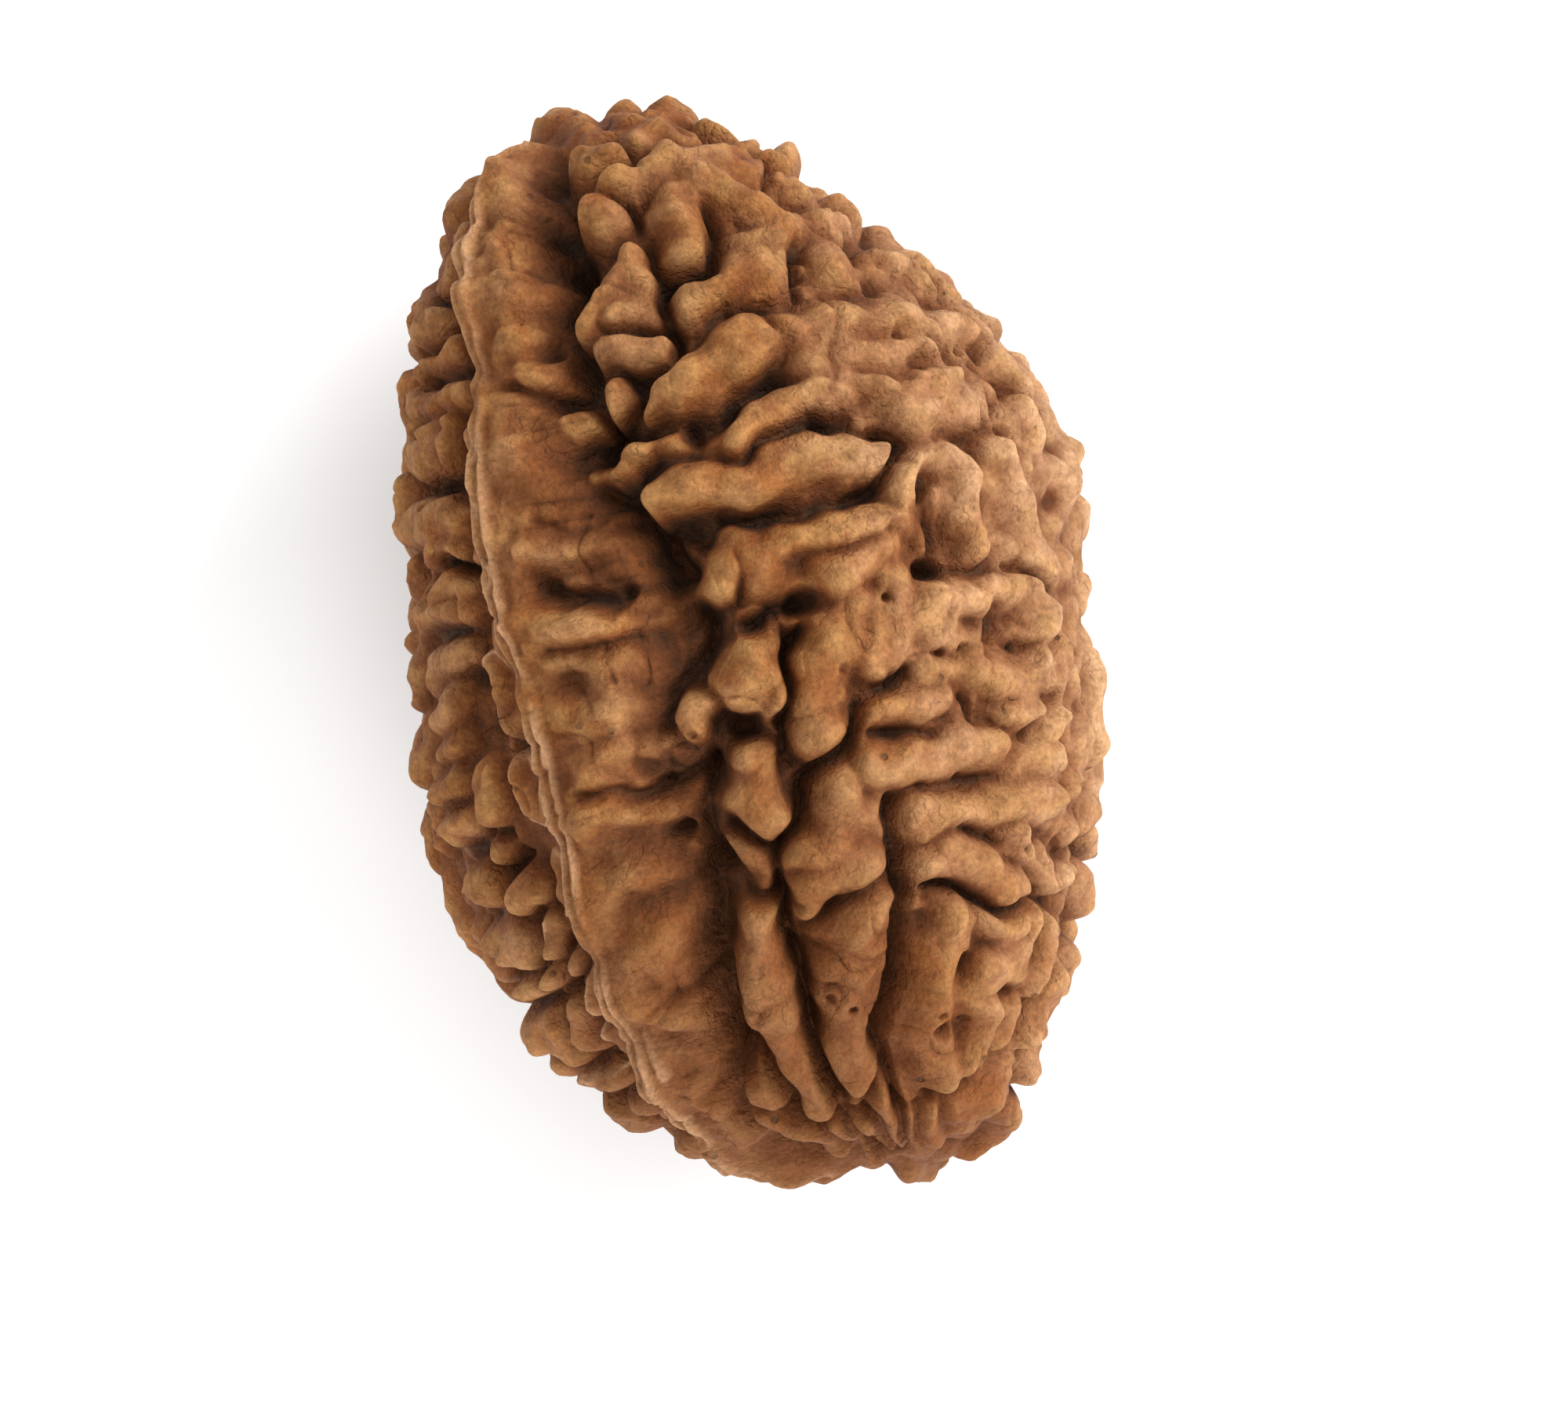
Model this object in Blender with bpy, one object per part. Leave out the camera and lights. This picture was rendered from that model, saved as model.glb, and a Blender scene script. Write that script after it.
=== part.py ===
"""A rudraksha bead: the stone of an Elaeocarpus fruit, grown as one piece.

The bead lies on its side with its long axis along Y. Two seams run from pole to pole, each a thin
double lip on a keel between two shallow valleys. The rest of the surface is covered by rounded,
winding ridges that crowd against each other, with creases and small pits between them.

All lengths below are in millimetres, and the finished mesh is in metres. Places on the upper side
are given as they are seen from straight above, as (x, y).
"""

import math

import bmesh
import bpy
import numpy as np

MM = 0.001

# The smooth envelope that the crests of the ridges touch
HALF_LENGTH = 17.15
HALF_WIDTH = 10.7
HALF_HEIGHT = 10.3
# How wide it is against an ellipsoid at stations along its length: (share of the half length, factor)
FULLNESS = ((-1.0, 1.0), (-0.75, 1.03), (-0.5, 1.03), (0.0, 1.0), (0.35, 1.01), (0.5, 0.97),
            (0.65, 0.94), (0.8, 0.94), (1.0, 1.0))
# How far the middle of the bead lies to the side at stations along its length: (y, x)
SPINE = ((-17.2, 2.0), (-16.0, 1.1), (-15.0, 0.1), (-13.0, -0.35), (-9.0, -0.65), (-3.0, -0.45),
         (1.0, 0.1), (5.0, 0.5), (9.0, 0.05), (13.0, -1.0), (17.2, -1.0))

# The resting spot: the underside is worn flat this far inside the envelope
WORN_DEPTH = 0.4
AXIS_HEIGHT = HALF_HEIGHT - WORN_DEPTH

# The seam that is seen from above, as (x, y), and the turn from it to the one on the far side
SEAM = ((-4.2, 15.9), (-5.0, 14.8), (-5.6, 13.2), (-5.95, 11.4), (-6.1, 9.8), (-6.45, 8.3), (-6.75, 6.7),
        (-7.0, 5.0), (-7.15, 3.0), (-7.05, 1.0), (-6.85, -1.0), (-6.9, -4.0), (-6.8, -7.0), (-6.5, -9.5),
        (-6.1, -11.3), (-5.6, -12.8), (-4.9, -14.3), (-3.7, -15.6))
SEAM_TURN = math.radians(180.0)
SEAM_SWAY = math.radians(4.0)
SEAM_LIP_GAP = 0.2
SEAM_LIP_WIDTH = 0.13
SEAM_LIP_HEIGHT = 0.2

# Level of the ground under the ridges against the angle from the seen seam, in degrees. The broad
# flank of a seam is on its positive side, and the steep one on its negative side. The far seam takes
# the part of the same table that lies beside a seam.
GROUND = ((-180, -0.75), (-22, -0.75), (-14, -1.1), (-8, -1.0), (-2.5, -0.2), (0, 0.0), (2, -0.1),
          (6, -0.2), (11, -0.4), (15, -0.7), (20, -1.3), (25, -1.65), (30, -1.75), (36, -1.5), (45, -1.0),
          (58, -0.75), (75, -0.5),
          (115, -0.5), (135, -0.75), (180, -0.75))
FAR_GROUND = (-22, 58)
POLE_GROUND = -0.7
POLE_FADE = (0.94, 0.995)
BARE_FLANK = (-9.0, 28.0)

# Ridges on the upper side: (level of the crest, ((x, y, half-width), ...), ...), with a path for each
# branch of a ridge. Only shallow clefts part the branches of one ridge.
CROWN_RIDGES = (
    (-0.25, ((0.2, 16.0, 0.6), (1.0, 16.3, 0.6), (1.9, 15.7, 0.6))),
    (0.0, ((0.3, 14.8, 0.6), (1.4, 15.0, 0.85), (2.5, 14.7, 0.8), (3.5, 14.2, 0.6)),
     ((1.9, 14.2, 0.8), (2.7, 13.4, 0.85), (3.3, 12.8, 0.85), (3.8, 12.2, 0.8)),
     ((0.6, 13.8, 0.75), (0.55, 13.0, 0.85), (0.8, 12.3, 0.7)),
     ((0.5, 10.4, 0.75), (1.4, 10.6, 0.65), (2.4, 11.0, 0.75), (3.4, 11.7, 0.85), (4.5, 12.1, 0.85),
      (5.4, 11.8, 0.7)),
     ((2.8, 10.5, 0.6), (3.3, 11.0, 0.7)), ((4.9, 10.6, 0.75), (5.1, 11.5, 0.85)),
     ((-1.2, 14.7, 0.35), (-0.4, 14.5, 0.5), (0.3, 14.6, 0.5))),
    (0.0, ((-1.7, 15.7, 0.55), (-1.0, 15.6, 0.65))),
    (-0.05, ((-1.9, 14.0, 0.5), (-1.4, 13.6, 0.5))),
    (-0.1, ((2.6, 15.7, 0.4), (3.6, 15.3, 0.5))),
    (-0.1, ((3.9, 14.7, 0.4), (4.3, 14.1, 0.4))),
    (-0.2, ((4.3, 13.6, 0.45), (5.0, 13.1, 0.45))),
    (-0.05, ((6.0, 12.5, 0.4), (6.3, 12.0, 0.45))),
    (0.05, ((-0.95, 12.2, 0.4), (-0.8, 11.6, 0.65), (-1.2, 11.0, 0.75), (-1.8, 10.8, 0.55)),
     ((-1.4, 11.9, 0.4), (-2.1, 11.2, 0.45), (-2.8, 10.6, 0.3))),
    (-0.1, ((-2.4, 9.8, 0.5), (-1.5, 9.5, 0.6), (-1.0, 9.4, 0.5))),
    (0.0, ((6.7, 10.4, 0.6), (7.5, 10.2, 0.7), (7.8, 9.5, 0.6))),
)
SHOULDER_RIDGES = (
    (0.05, ((3.7, 9.0, 0.95), (4.9, 8.9, 1.0), (6.0, 8.9, 0.9), (7.2, 8.6, 0.7)),
     ((4.0, 8.0, 0.9), (5.2, 7.9, 0.9), (6.2, 7.6, 0.8), (7.0, 7.7, 0.6)),
     ((-0.6, 7.8, 0.75), (0.5, 8.3, 0.9), (1.6, 8.7, 0.85), (2.6, 8.9, 0.7)),
     ((1.1, 5.9, 0.5), (1.7, 6.4, 0.55), (2.5, 6.8, 0.65), (3.4, 6.9, 0.55), (4.4, 6.9, 0.6)),
     ((4.6, 7.3, 0.6), (5.3, 6.9, 0.6), (5.8, 6.3, 0.7)),
     ((6.2, 5.9, 0.95), (7.3, 5.9, 1.1), (8.3, 5.7, 1.0)), ((6.9, 6.6, 0.6), (8.0, 6.6, 0.6)),
     ((7.6, 8.3, 0.6), (8.3, 8.0, 0.55), (8.8, 7.6, 0.5)),
     ((6.4, 4.1, 0.6), (7.2, 4.1, 0.65), (7.7, 3.4, 0.55), (7.5, 2.4, 0.5), (7.5, 1.6, 0.45)),
     ((8.8, 4.0, 0.75), (9.0, 2.8, 1.0), (9.2, 1.5, 1.05), (9.5, 0.3, 0.8))),
    (0.0, ((9.4, 6.8, 0.7), (9.9, 6.0, 0.7))),
    (0.0, ((9.7, 5.0, 0.6), (9.9, 4.3, 0.6))),
    (-0.3, ((-2.6, 8.4, 0.5), (-2.5, 8.1, 0.5))),
    (-0.5, ((-3.9, 6.3, 0.35), (-3.0, 6.3, 0.45), (-2.2, 6.5, 0.4), (-0.9, 6.6, 0.35))),
    (-0.45, ((-4.1, 7.8, 0.4), (-3.6, 7.8, 0.4))),
)
MIDDLE_RIDGES = (
    (0.1, ((-1.8, 5.0, 0.6), (-1.0, 5.2, 0.75), (0.0, 4.75, 0.65), (1.0, 4.45, 0.5), (1.9, 4.5, 0.55),
           (2.6, 4.8, 0.8), (3.4, 5.0, 0.95), (4.3, 4.7, 0.75), (5.1, 4.35, 0.4))),
    (0.02, ((0.0, 2.9, 0.5), (-0.5, 2.4, 0.45), (-0.7, 1.9, 0.4)), ((0.3, 2.7, 0.6), (0.8, 2.25, 0.8)),
     ((1.2, 2.5, 0.55), (2.4, 2.6, 0.45), (3.5, 2.8, 0.45), (4.5, 2.9, 0.5), (5.4, 2.7, 0.55)),
     ((2.8, 1.3, 0.7), (3.7, 1.5, 0.75), (4.6, 1.9, 0.7)),
     ((3.3, 0.4, 0.75), (2.6, -0.5, 0.85), (1.9, -1.5, 0.85), (1.4, -2.5, 0.8), (1.2, -3.3, 0.6)),
     ((4.6, 1.0, 0.75), (4.5, 0.0, 0.85), (4.6, -0.9, 0.75)), ((3.8, -0.3, 0.7), (3.5, -1.1, 0.5)),
     ((5.3, -0.6, 0.6), (6.0, -1.2, 0.6), (6.7, -1.6, 0.5)),
     ((5.3, 2.6, 0.5), (5.6, 3.4, 0.5), (6.3, 4.0, 0.55)),
     ((5.7, 0.1, 0.5), (6.3, -0.2, 0.6), (7.0, -0.2, 0.5), (7.6, 0.1, 0.5)),
     ((8.0, -0.2, 0.45), (8.7, -0.5, 0.5), (9.0, -1.2, 0.45), (8.7, -1.9, 0.45)),
     ((6.7, -2.5, 0.8), (7.6, -2.8, 0.95), (8.4, -2.8, 0.7)), ((7.0, -3.6, 0.5), (7.9, -3.6, 0.5)),
     ((3.4, -2.8, 0.6), (4.4, -2.9, 0.75), (5.2, -2.8, 0.75)), ((5.3, -2.0, 0.5), (6.1, -2.1, 0.5)),
     ((2.7, -4.6, 0.5), (3.7, -4.8, 0.65), (4.6, -4.7, 0.6), (5.6, -4.5, 0.6), (6.5, -4.6, 0.55)),
     ((7.2, -5.4, 0.75), (8.1, -5.6, 0.7)), ((7.9, -4.5, 0.5), (8.5, -4.4, 0.45)),
     ((9.3, -2.5, 0.5), (9.4, -3.5, 0.5)), ((9.4, -5.2, 0.6),), ((8.9, -6.5, 0.5),),
     ((3.8, -6.3, 0.5), (4.9, -6.3, 0.6), (6.0, -6.3, 0.6), (6.9, -6.5, 0.6), (7.8, -6.9, 0.7)),
     ((3.9, -7.6, 0.6), (4.8, -7.8, 0.8), (5.7, -8.3, 0.7), (6.5, -9.2, 0.6)),
     ((6.6, -7.6, 0.5), (7.3, -8.7, 0.6), (7.4, -9.7, 0.5)), ((8.4, -8.0, 0.55),), ((8.0, -9.4, 0.5),)),
    (0.1, ((0.1, -0.5, 0.8), (-0.4, -0.8, 1.1), (-0.6, -1.0, 1.0)), ((0.15, -1.1, 0.7), (0.15, -1.7, 0.5))),
    (-0.3, ((-1.6, -1.3, 0.4), (-2.1, -1.5, 0.45), (-2.5, -1.9, 0.4))),
    (0.05, ((-0.8, -3.9, 0.8), (-1.0, -4.6, 1.0), (-0.9, -5.2, 0.75))),
)
LOWER_RIDGES = (
    (0.05, ((1.5, -5.0, 0.6), (1.6, -5.9, 0.95), (1.1, -6.7, 1.1), (0.2, -6.9, 0.95)),
     ((1.8, -7.2, 0.8), (0.6, -7.6, 0.9), (-0.2, -8.1, 0.6)),
     ((2.0, -8.6, 0.6), (1.4, -9.2, 0.9), (0.7, -9.9, 1.05), (0.45, -10.9, 0.9), (0.3, -11.9, 0.8),
      (0.1, -12.8, 0.65), (-0.2, -13.7, 0.4))),
    (-0.1, ((-1.95, -8.3, 0.6), (-2.05, -9.5, 0.8), (-2.0, -10.8, 0.75), (-2.0, -12.0, 0.65),
            (-1.8, -13.2, 0.55), (-1.5, -14.4, 0.4))),
    (0.05, ((4.3, -9.6, 0.85), (3.7, -10.5, 0.9), (3.1, -11.6, 0.95), (2.7, -12.6, 0.9), (2.6, -13.6, 0.75),
            (3.0, -14.4, 0.4)),
     ((5.3, -9.9, 0.6), (5.9, -10.2, 0.5)), ((6.4, -10.3, 0.4), (5.6, -10.9, 0.45), (4.8, -11.3, 0.45)),
     ((4.6, -12.6, 0.5), (4.0, -13.3, 0.5), (3.5, -14.0, 0.45)), ((5.2, -12.7, 0.5), (4.6, -13.6, 0.4))),
    (0.0, ((7.0, -10.6, 0.45), (6.6, -11.6, 0.4), (6.0, -12.3, 0.4))),
    (0.0, ((6.8, -12.1, 0.35), (6.2, -13.0, 0.4), (5.5, -13.8, 0.35))),
    (-0.7, ((-1.8, -6.3, 0.35), (-1.4, -7.1, 0.35))),
)
TAIL_RIDGES = (
    (0.0, ((3.0, -15.4, 0.5), (3.9, -15.4, 0.8))),
    (0.0, ((2.2, -15.2, 0.3), (2.1, -16.2, 0.28))),
    (-0.2, ((1.55, -15.1, 0.22), (1.45, -16.3, 0.2))),
    (-0.25, ((0.4, -14.2, 0.28), (0.6, -15.3, 0.3), (0.75, -16.4, 0.25))),
    (-0.25, ((-0.3, -14.9, 0.22), (0.0, -15.7, 0.22), (0.4, -16.5, 0.2))),
    (-0.2, ((-1.2, -15.0, 0.22), (-0.6, -15.9, 0.25), (0.0, -16.6, 0.2))),
    (-0.15, ((-3.0, -14.2, 0.35), (-2.0, -15.1, 0.35), (-1.0, -16.0, 0.35))),
    (-0.1, ((-4.8, -12.6, 0.7), (-4.3, -13.6, 0.7), (-3.7, -14.7, 0.6))),
    (-0.2, ((-2.9, -12.9, 0.35), (-2.6, -13.8, 0.35))),
)
LEFT_RIDGES = (
    (-0.05, ((-7.9, 12.6, 0.6), (-7.4, 12.1, 0.6))),
    (-0.3, ((-7.8, 10.8, 0.35), (-7.2, 10.9, 0.45))),
    (-0.05, ((-8.4, 9.5, 0.5), (-7.7, 9.5, 0.55), (-7.1, 9.6, 0.4))),
    (0.0, ((-9.1, 7.9, 0.65), (-8.3, 7.9, 0.75), (-7.8, 8.0, 0.5)),
     ((-8.4, 8.6, 0.4), (-7.6, 8.8, 0.35))),
    (0.0, ((-9.5, 5.9, 0.75), (-8.8, 5.9, 0.85), (-8.2, 5.9, 0.75)), ((-9.2, 5.1, 0.4), (-8.3, 5.0, 0.4))),
    (0.0, ((-9.8, 3.3, 0.6), (-9.2, 3.2, 0.7), (-8.4, 2.9, 0.6)), ((-9.2, 4.1, 0.4), (-8.3, 3.8, 0.5))),
    (0.0, ((-9.9, 1.2, 0.5), (-9.3, 1.3, 0.5), (-8.8, 1.5, 0.3))),
    (0.0, ((-9.8, 0.1, 0.5), (-9.3, 0.1, 0.45))),
    (0.0, ((-10.1, -0.9, 0.45), (-9.5, -0.9, 0.4))),
    (0.0, ((-10.4, -2.2, 0.55), (-9.9, -2.0, 0.4))),
    (0.0, ((-10.4, -3.5, 0.5), (-9.8, -3.4, 0.4))),
    (0.0, ((-9.0, -2.2, 0.35), (-8.9, -3.2, 0.35))),
    (-0.2, ((-9.2, -4.4, 0.4),)),
    (0.0, ((-10.2, -5.3, 0.5), (-9.6, -5.4, 0.5))),
    (0.0, ((-8.8, -5.7, 0.55), (-8.4, -5.8, 0.5))),
    (0.0, ((-9.9, -7.2, 0.55), (-9.1, -7.2, 0.65))),
    (-0.1, ((-8.2, -6.8, 0.3), (-8.4, -7.6, 0.3))),
    (0.0, ((-9.6, -8.8, 0.5), (-9.1, -8.7, 0.5))),
    (0.0, ((-8.4, -8.4, 0.45),)),
    (-0.1, ((-7.7, -8.2, 0.4),)),
    (0.0, ((-9.2, -10.2, 0.5), (-8.6, -10.0, 0.6), (-8.5, -10.8, 0.4))),
    (-0.1, ((-7.8, -9.7, 0.4), (-7.8, -10.6, 0.5))),
    (0.0, ((-8.0, -12.0, 0.5), (-7.3, -12.0, 0.5))),
    (0.0, ((-6.9, -13.2, 0.5), (-6.3, -13.2, 0.45))),
    (0.0, ((-5.8, -14.3, 0.45), (-5.3, -14.3, 0.4))),
)
# Scalloped plates that lean against the steep side of the seam
SCALLOPS = (
    (-0.25, ((-6.7, 8.4, 0.3), (-6.9, 7.5, 0.3))),
    (-0.25, ((-7.2, 5.7, 0.2),)),
    (-0.2, ((-7.35, 3.7, 0.25),)),
    (-0.12, ((-7.9, 1.0, 0.4), (-7.8, 0.2, 0.45), (-7.5, -0.9, 0.3))),
    (-0.12, ((-7.7, -2.3, 0.4), (-7.6, -3.4, 0.4))),
    (-0.12, ((-7.4, -5.2, 0.3), (-7.4, -6.2, 0.25))),
    (-0.2, ((-7.15, -7.5, 0.3),)),
    (-0.2, ((-7.0, -8.9, 0.25), (-7.05, -9.6, 0.2))),
    (-0.25, ((-6.9, -10.6, 0.25), (-6.8, -11.3, 0.2))),
)
SEEN_RIDGES = (CROWN_RIDGES + SHOULDER_RIDGES + MIDDLE_RIDGES + LOWER_RIDGES + TAIL_RIDGES + LEFT_RIDGES
               + SCALLOPS)

# Low swellings across the broad flank of the seam: (height, half-width, ((x, y), ...))
FOLDS = (
    (0.45, 0.9, ((-3.9, 15.6), (-4.4, 13.8), (-4.7, 12.2), (-4.8, 11.2))),
    (0.6, 0.7, ((-4.9, 9.6), (-4.5, 9.3))),
    (0.4, 0.8, ((-5.9, 8.4), (-5.8, 7.5))),
    (0.45, 0.9, ((-5.6, 6.6), (-5.3, 5.9))),
    (0.6, 0.6, ((-6.3, 3.9), (-5.0, 3.6), (-3.4, 3.7))),
    (0.65, 0.5, ((-6.6, 2.1), (-5.4, 1.8), (-4.2, 1.8))),
    (0.6, 0.6, ((-3.2, 1.6), (-2.4, 1.4))),
    (0.3, 0.4, ((-6.3, 0.7), (-5.0, 0.4), (-4.0, 0.5))),
    (0.6, 1.2, ((-3.8, 2.0), (-3.9, 0.2), (-4.0, -1.4))),
    (0.4, 0.5, ((-6.3, -0.8), (-5.0, -0.9), (-4.2, -1.1))),
    (0.5, 0.45, ((-6.3, -2.2), (-5.9, -2.3))),
    (0.5, 0.5, ((-5.1, -2.3), (-4.7, -2.3))),
    (0.35, 0.4, ((-3.6, -2.3), (-3.4, -2.5))),
    (0.65, 0.5, ((-6.4, -4.1), (-5.0, -4.2), (-3.6, -4.3), (-2.9, -4.4))),
    (0.5, 0.5, ((-5.8, -6.2), (-4.8, -6.1))),
    (0.3, 0.5, ((-3.9, -6.6),)),
    (0.5, 0.7, ((-5.6, -7.9), (-4.9, -8.0), (-4.3, -8.5))),
    (0.45, 0.6, ((-5.7, -9.7), (-5.0, -9.9), (-4.4, -10.3))),
    (0.4, 0.5, ((-5.2, -11.4), (-4.5, -12.0))),
)

# Creases: (depth, half-width, ((x, y), ...))
CREASES = (
    (0.9, 0.6, ((-2.3, 15.6), (-2.5, 14.7), (-2.8, 13.9), (-3.0, 13.2))),
    (1.4, 1.0, ((-3.0, 13.2), (-2.9, 12.4), (-3.2, 11.6))),
    (0.8, 0.5, ((-3.3, 11.2), (-3.4, 10.2), (-3.4, 9.2), (-3.7, 8.7), (-4.4, 8.5), (-5.0, 8.7),
                (-5.6, 9.3))),
    (0.8, 0.5, ((-3.1, 8.8), (-3.0, 7.6), (-3.0, 7.1), (-1.6, 7.1), (-1.0, 7.3))),
    (0.9, 0.5, ((-3.1, 5.7), (-2.9, 5.0), (-2.6, 4.2), (-2.0, 3.4), (-1.6, 2.6))),
    (0.7, 0.7, ((-1.7, 3.9), (-1.2, 3.6), (-0.8, 3.2))),
    (0.8, 0.9, ((-3.1, 4.4), (-2.5, 3.5), (-2.0, 2.7))),
    (0.7, 0.8, ((-3.6, 7.1), (-2.9, 6.9))),
    (1.1, 0.6, ((0.3, 0.6), (1.2, 0.6), (2.0, 0.55))),
    (0.7, 0.5, ((-1.3, 1.4), (-1.2, 0.7), (-2.0, 0.0), (-2.8, -0.8), (-3.2, -1.6))),
    (0.9, 0.5, ((-2.3, -3.3), (-2.7, -4.2), (-2.8, -5.4), (-2.7, -6.6))),
    (1.1, 1.0, ((-3.0, -6.8), (-3.4, -8.0), (-3.4, -9.5), (-3.5, -11.0), (-3.3, -12.3))),
    (0.6, 0.4, ((-2.6, -12.5), (-2.3, -13.8), (-1.8, -14.9))),
    (1.0, 0.45, ((1.6, 13.3), (2.0, 12.5), (1.7, 11.8), (1.0, 11.4), (0.2, 11.3), (-0.1, 10.8),
                 (-0.35, 10.2), (-0.4, 9.3))),
    (0.4, 0.2, ((-2.4, 10.5), (-1.6, 10.1), (-0.7, 10.05))),
    (0.7, 0.18, ((3.95, 10.1), (4.05, 11.1), (4.3, 11.6))),
    (1.0, 0.45, ((-0.4, 6.7), (0.6, 6.8), (1.3, 7.3), (2.1, 7.7), (2.7, 7.8))),
    (0.6, 0.35, ((3.6, 6.15), (4.4, 6.0), (5.2, 5.3), (6.0, 4.7))),
    (0.35, 0.16, ((6.9, 7.0), (7.4, 6.85), (8.2, 7.15), (8.8, 6.7), (9.1, 6.3))),
    (0.3, 0.15, ((8.6, 5.6), (8.7, 4.9))),
    (0.5, 0.16, ((7.3, 4.5), (8.2, 4.55))),
    (0.4, 0.18, ((7.5, 7.6), (7.9, 7.1))),
    (0.7, 0.35, ((-0.2, 3.75), (0.5, 3.75), (1.5, 3.5), (2.5, 3.4), (3.6, 3.4), (4.7, 3.75), (5.7, 4.25))),
    (0.3, 0.15, ((-0.15, 2.7), (-0.05, 2.0), (-0.05, 1.4))),
    (0.35, 0.15, ((2.0, 2.1), (3.0, 2.15), (4.2, 2.4))),
    (0.6, 0.45, ((6.4, 3.3), (6.45, 2.4), (6.4, 1.6), (6.2, 1.1))),
    (0.4, 0.25, ((6.2, 0.9), (7.0, 0.85), (7.8, 0.6))),
    (0.3, 0.2, ((8.1, 4.2), (8.1, 3.0), (7.95, 1.9), (7.9, 1.1))),
    (0.6, 0.2, ((8.2, 0.4), (8.7, 0.15), (9.1, -0.1), (9.4, -0.5))),
    (0.3, 0.15, ((9.4, -0.5), (9.45, -1.1), (9.2, -1.8))),
    (0.6, 0.28, ((1.5, -0.2), (1.1, -0.9), (0.7, -1.8), (0.25, -2.5), (0.35, -3.2), (0.7, -3.9))),
    (1.0, 0.36, ((4.5, -1.75), (3.6, -2.1), (2.9, -2.55), (2.4, -3.3), (2.0, -3.9), (1.2, -4.25),
                 (0.7, -4.5), (0.35, -5.3), (-0.3, -5.9), (-0.9, -6.2))),
    (0.3, 0.13, ((7.9, -1.9), (8.3, -2.1), (8.9, -2.1))),
    (0.6, 0.18, ((6.05, -3.15), (6.1, -3.9))),
    (0.6, 0.2, ((3.0, -3.7), (4.0, -4.0), (4.9, -4.05))),
    (0.3, 0.16, ((4.9, -4.05), (6.1, -3.95), (7.0, -4.1))),
    (0.5, 0.17, ((7.8, -3.95), (7.4, -4.25), (7.3, -4.75))),
    (0.5, 0.17, ((5.25, -5.15), (5.7, -5.35), (6.4, -5.5))),
    (0.55, 0.2, ((3.1, -5.8), (4.2, -5.65))),
    (0.25, 0.14, ((7.7, -5.9), (8.4, -6.2))),
    (0.35, 0.22, ((5.0, -6.9), (6.0, -7.45), (6.4, -7.7), (6.9, -8.0))),
    (0.4, 0.16, ((8.75, -4.9), (8.85, -5.6))),
    (0.5, 0.22, ((3.6, -8.4), (4.5, -8.7), (5.2, -9.2), (6.0, -9.7), (6.6, -10.0))),
    (0.55, 0.2, ((2.9, -7.5), (1.9, -7.9), (1.2, -8.4), (0.3, -8.8), (-0.7, -9.1))),
    (0.3, 0.13, ((2.1, -6.95), (2.8, -6.75))),
    (0.4, 0.2, ((3.9, -13.6), (3.5, -14.3), (2.9, -15.0))),
    (1.1, 0.42, ((3.05, -5.9), (3.1, -7.2), (3.05, -8.4), (2.75, -9.4), (2.4, -10.4), (1.8, -11.5),
                 (1.35, -12.4), (1.0, -13.3), (0.95, -14.1), (1.2, -14.8))),
    (1.0, 0.4, ((-1.1, -7.6), (-1.0, -8.6), (-0.9, -9.8), (-0.95, -11.0), (-1.05, -12.1), (-1.05, -13.3),
                (-0.8, -14.2))),
    (0.7, 0.45, ((-6.2, 2.9), (-5.6, 2.65), (-4.5, 2.4), (-4.0, 2.5))),
    (0.4, 0.3, ((-4.0, 2.5), (-3.0, 2.5), (-2.2, 2.6))),
    (0.7, 0.4, ((-6.0, -3.3), (-4.7, -3.55), (-4.0, -3.55))),
    (0.7, 0.3, ((-4.0, -3.5), (-2.4, -3.3))),
    (0.35, 0.16, ((-5.9, 5.0), (-4.9, 4.6), (-3.9, 4.9))),
    (0.5, 0.35, ((-4.0, -5.2), (-3.3, -5.2))),
    (0.7, 0.22, ((-9.6, 7.1), (-8.6, 6.85), (-7.6, 6.6))),
    (0.7, 0.22, ((-9.0, 4.65), (-8.2, 4.45), (-7.5, 4.25))),
)

# Pits: (depth, radius, x, y)
PITS = (
    (1.2, 0.5, 5.85, 0.95), (0.9, 0.42, 6.3, 0.95), (0.55, 0.26, 6.4, 8.35), (0.5, 0.26, 6.65, 8.45),
    (0.7, 0.55, 7.65, -1.35), (0.3, 0.4, 7.7, -0.8), (0.25, 0.4, 6.5, -3.1), (0.8, 0.42, 4.3, -11.1),
    (0.7, 0.44, 3.0, -12.75), (0.5, 0.5, 5.2, -12.0), (0.5, 0.35, 9.9, 2.3), (0.5, 0.35, 6.3, 9.95),
    (0.4, 0.25, 6.7, 10.15), (0.5, 0.45, -4.3, 10.2), (0.8, 0.75, -3.7, 5.6), (0.5, 0.45, -4.3, -2.8),
    (0.9, 0.65, -0.9, -2.5), (0.5, 0.5, -3.6, -5.2), (0.3, 0.3, -3.9, -11.4), (0.3, 0.3, -4.0, -12.4),
    (0.35, 0.22, -2.45, -2.3), (0.35, 0.25, 6.95, -8.05), (0.4, 0.25, 7.6, -8.35), (0.4, 0.25, 7.5, -9.3),
    (0.6, 0.5, 1.5, 0.55), (0.6, 0.5, -8.5, -0.9),
    (0.3, 0.2, 5.45, -7.0), (0.3, 0.2, 5.6, -1.6), (0.25, 0.18, 4.3, 0.35),
)

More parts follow.
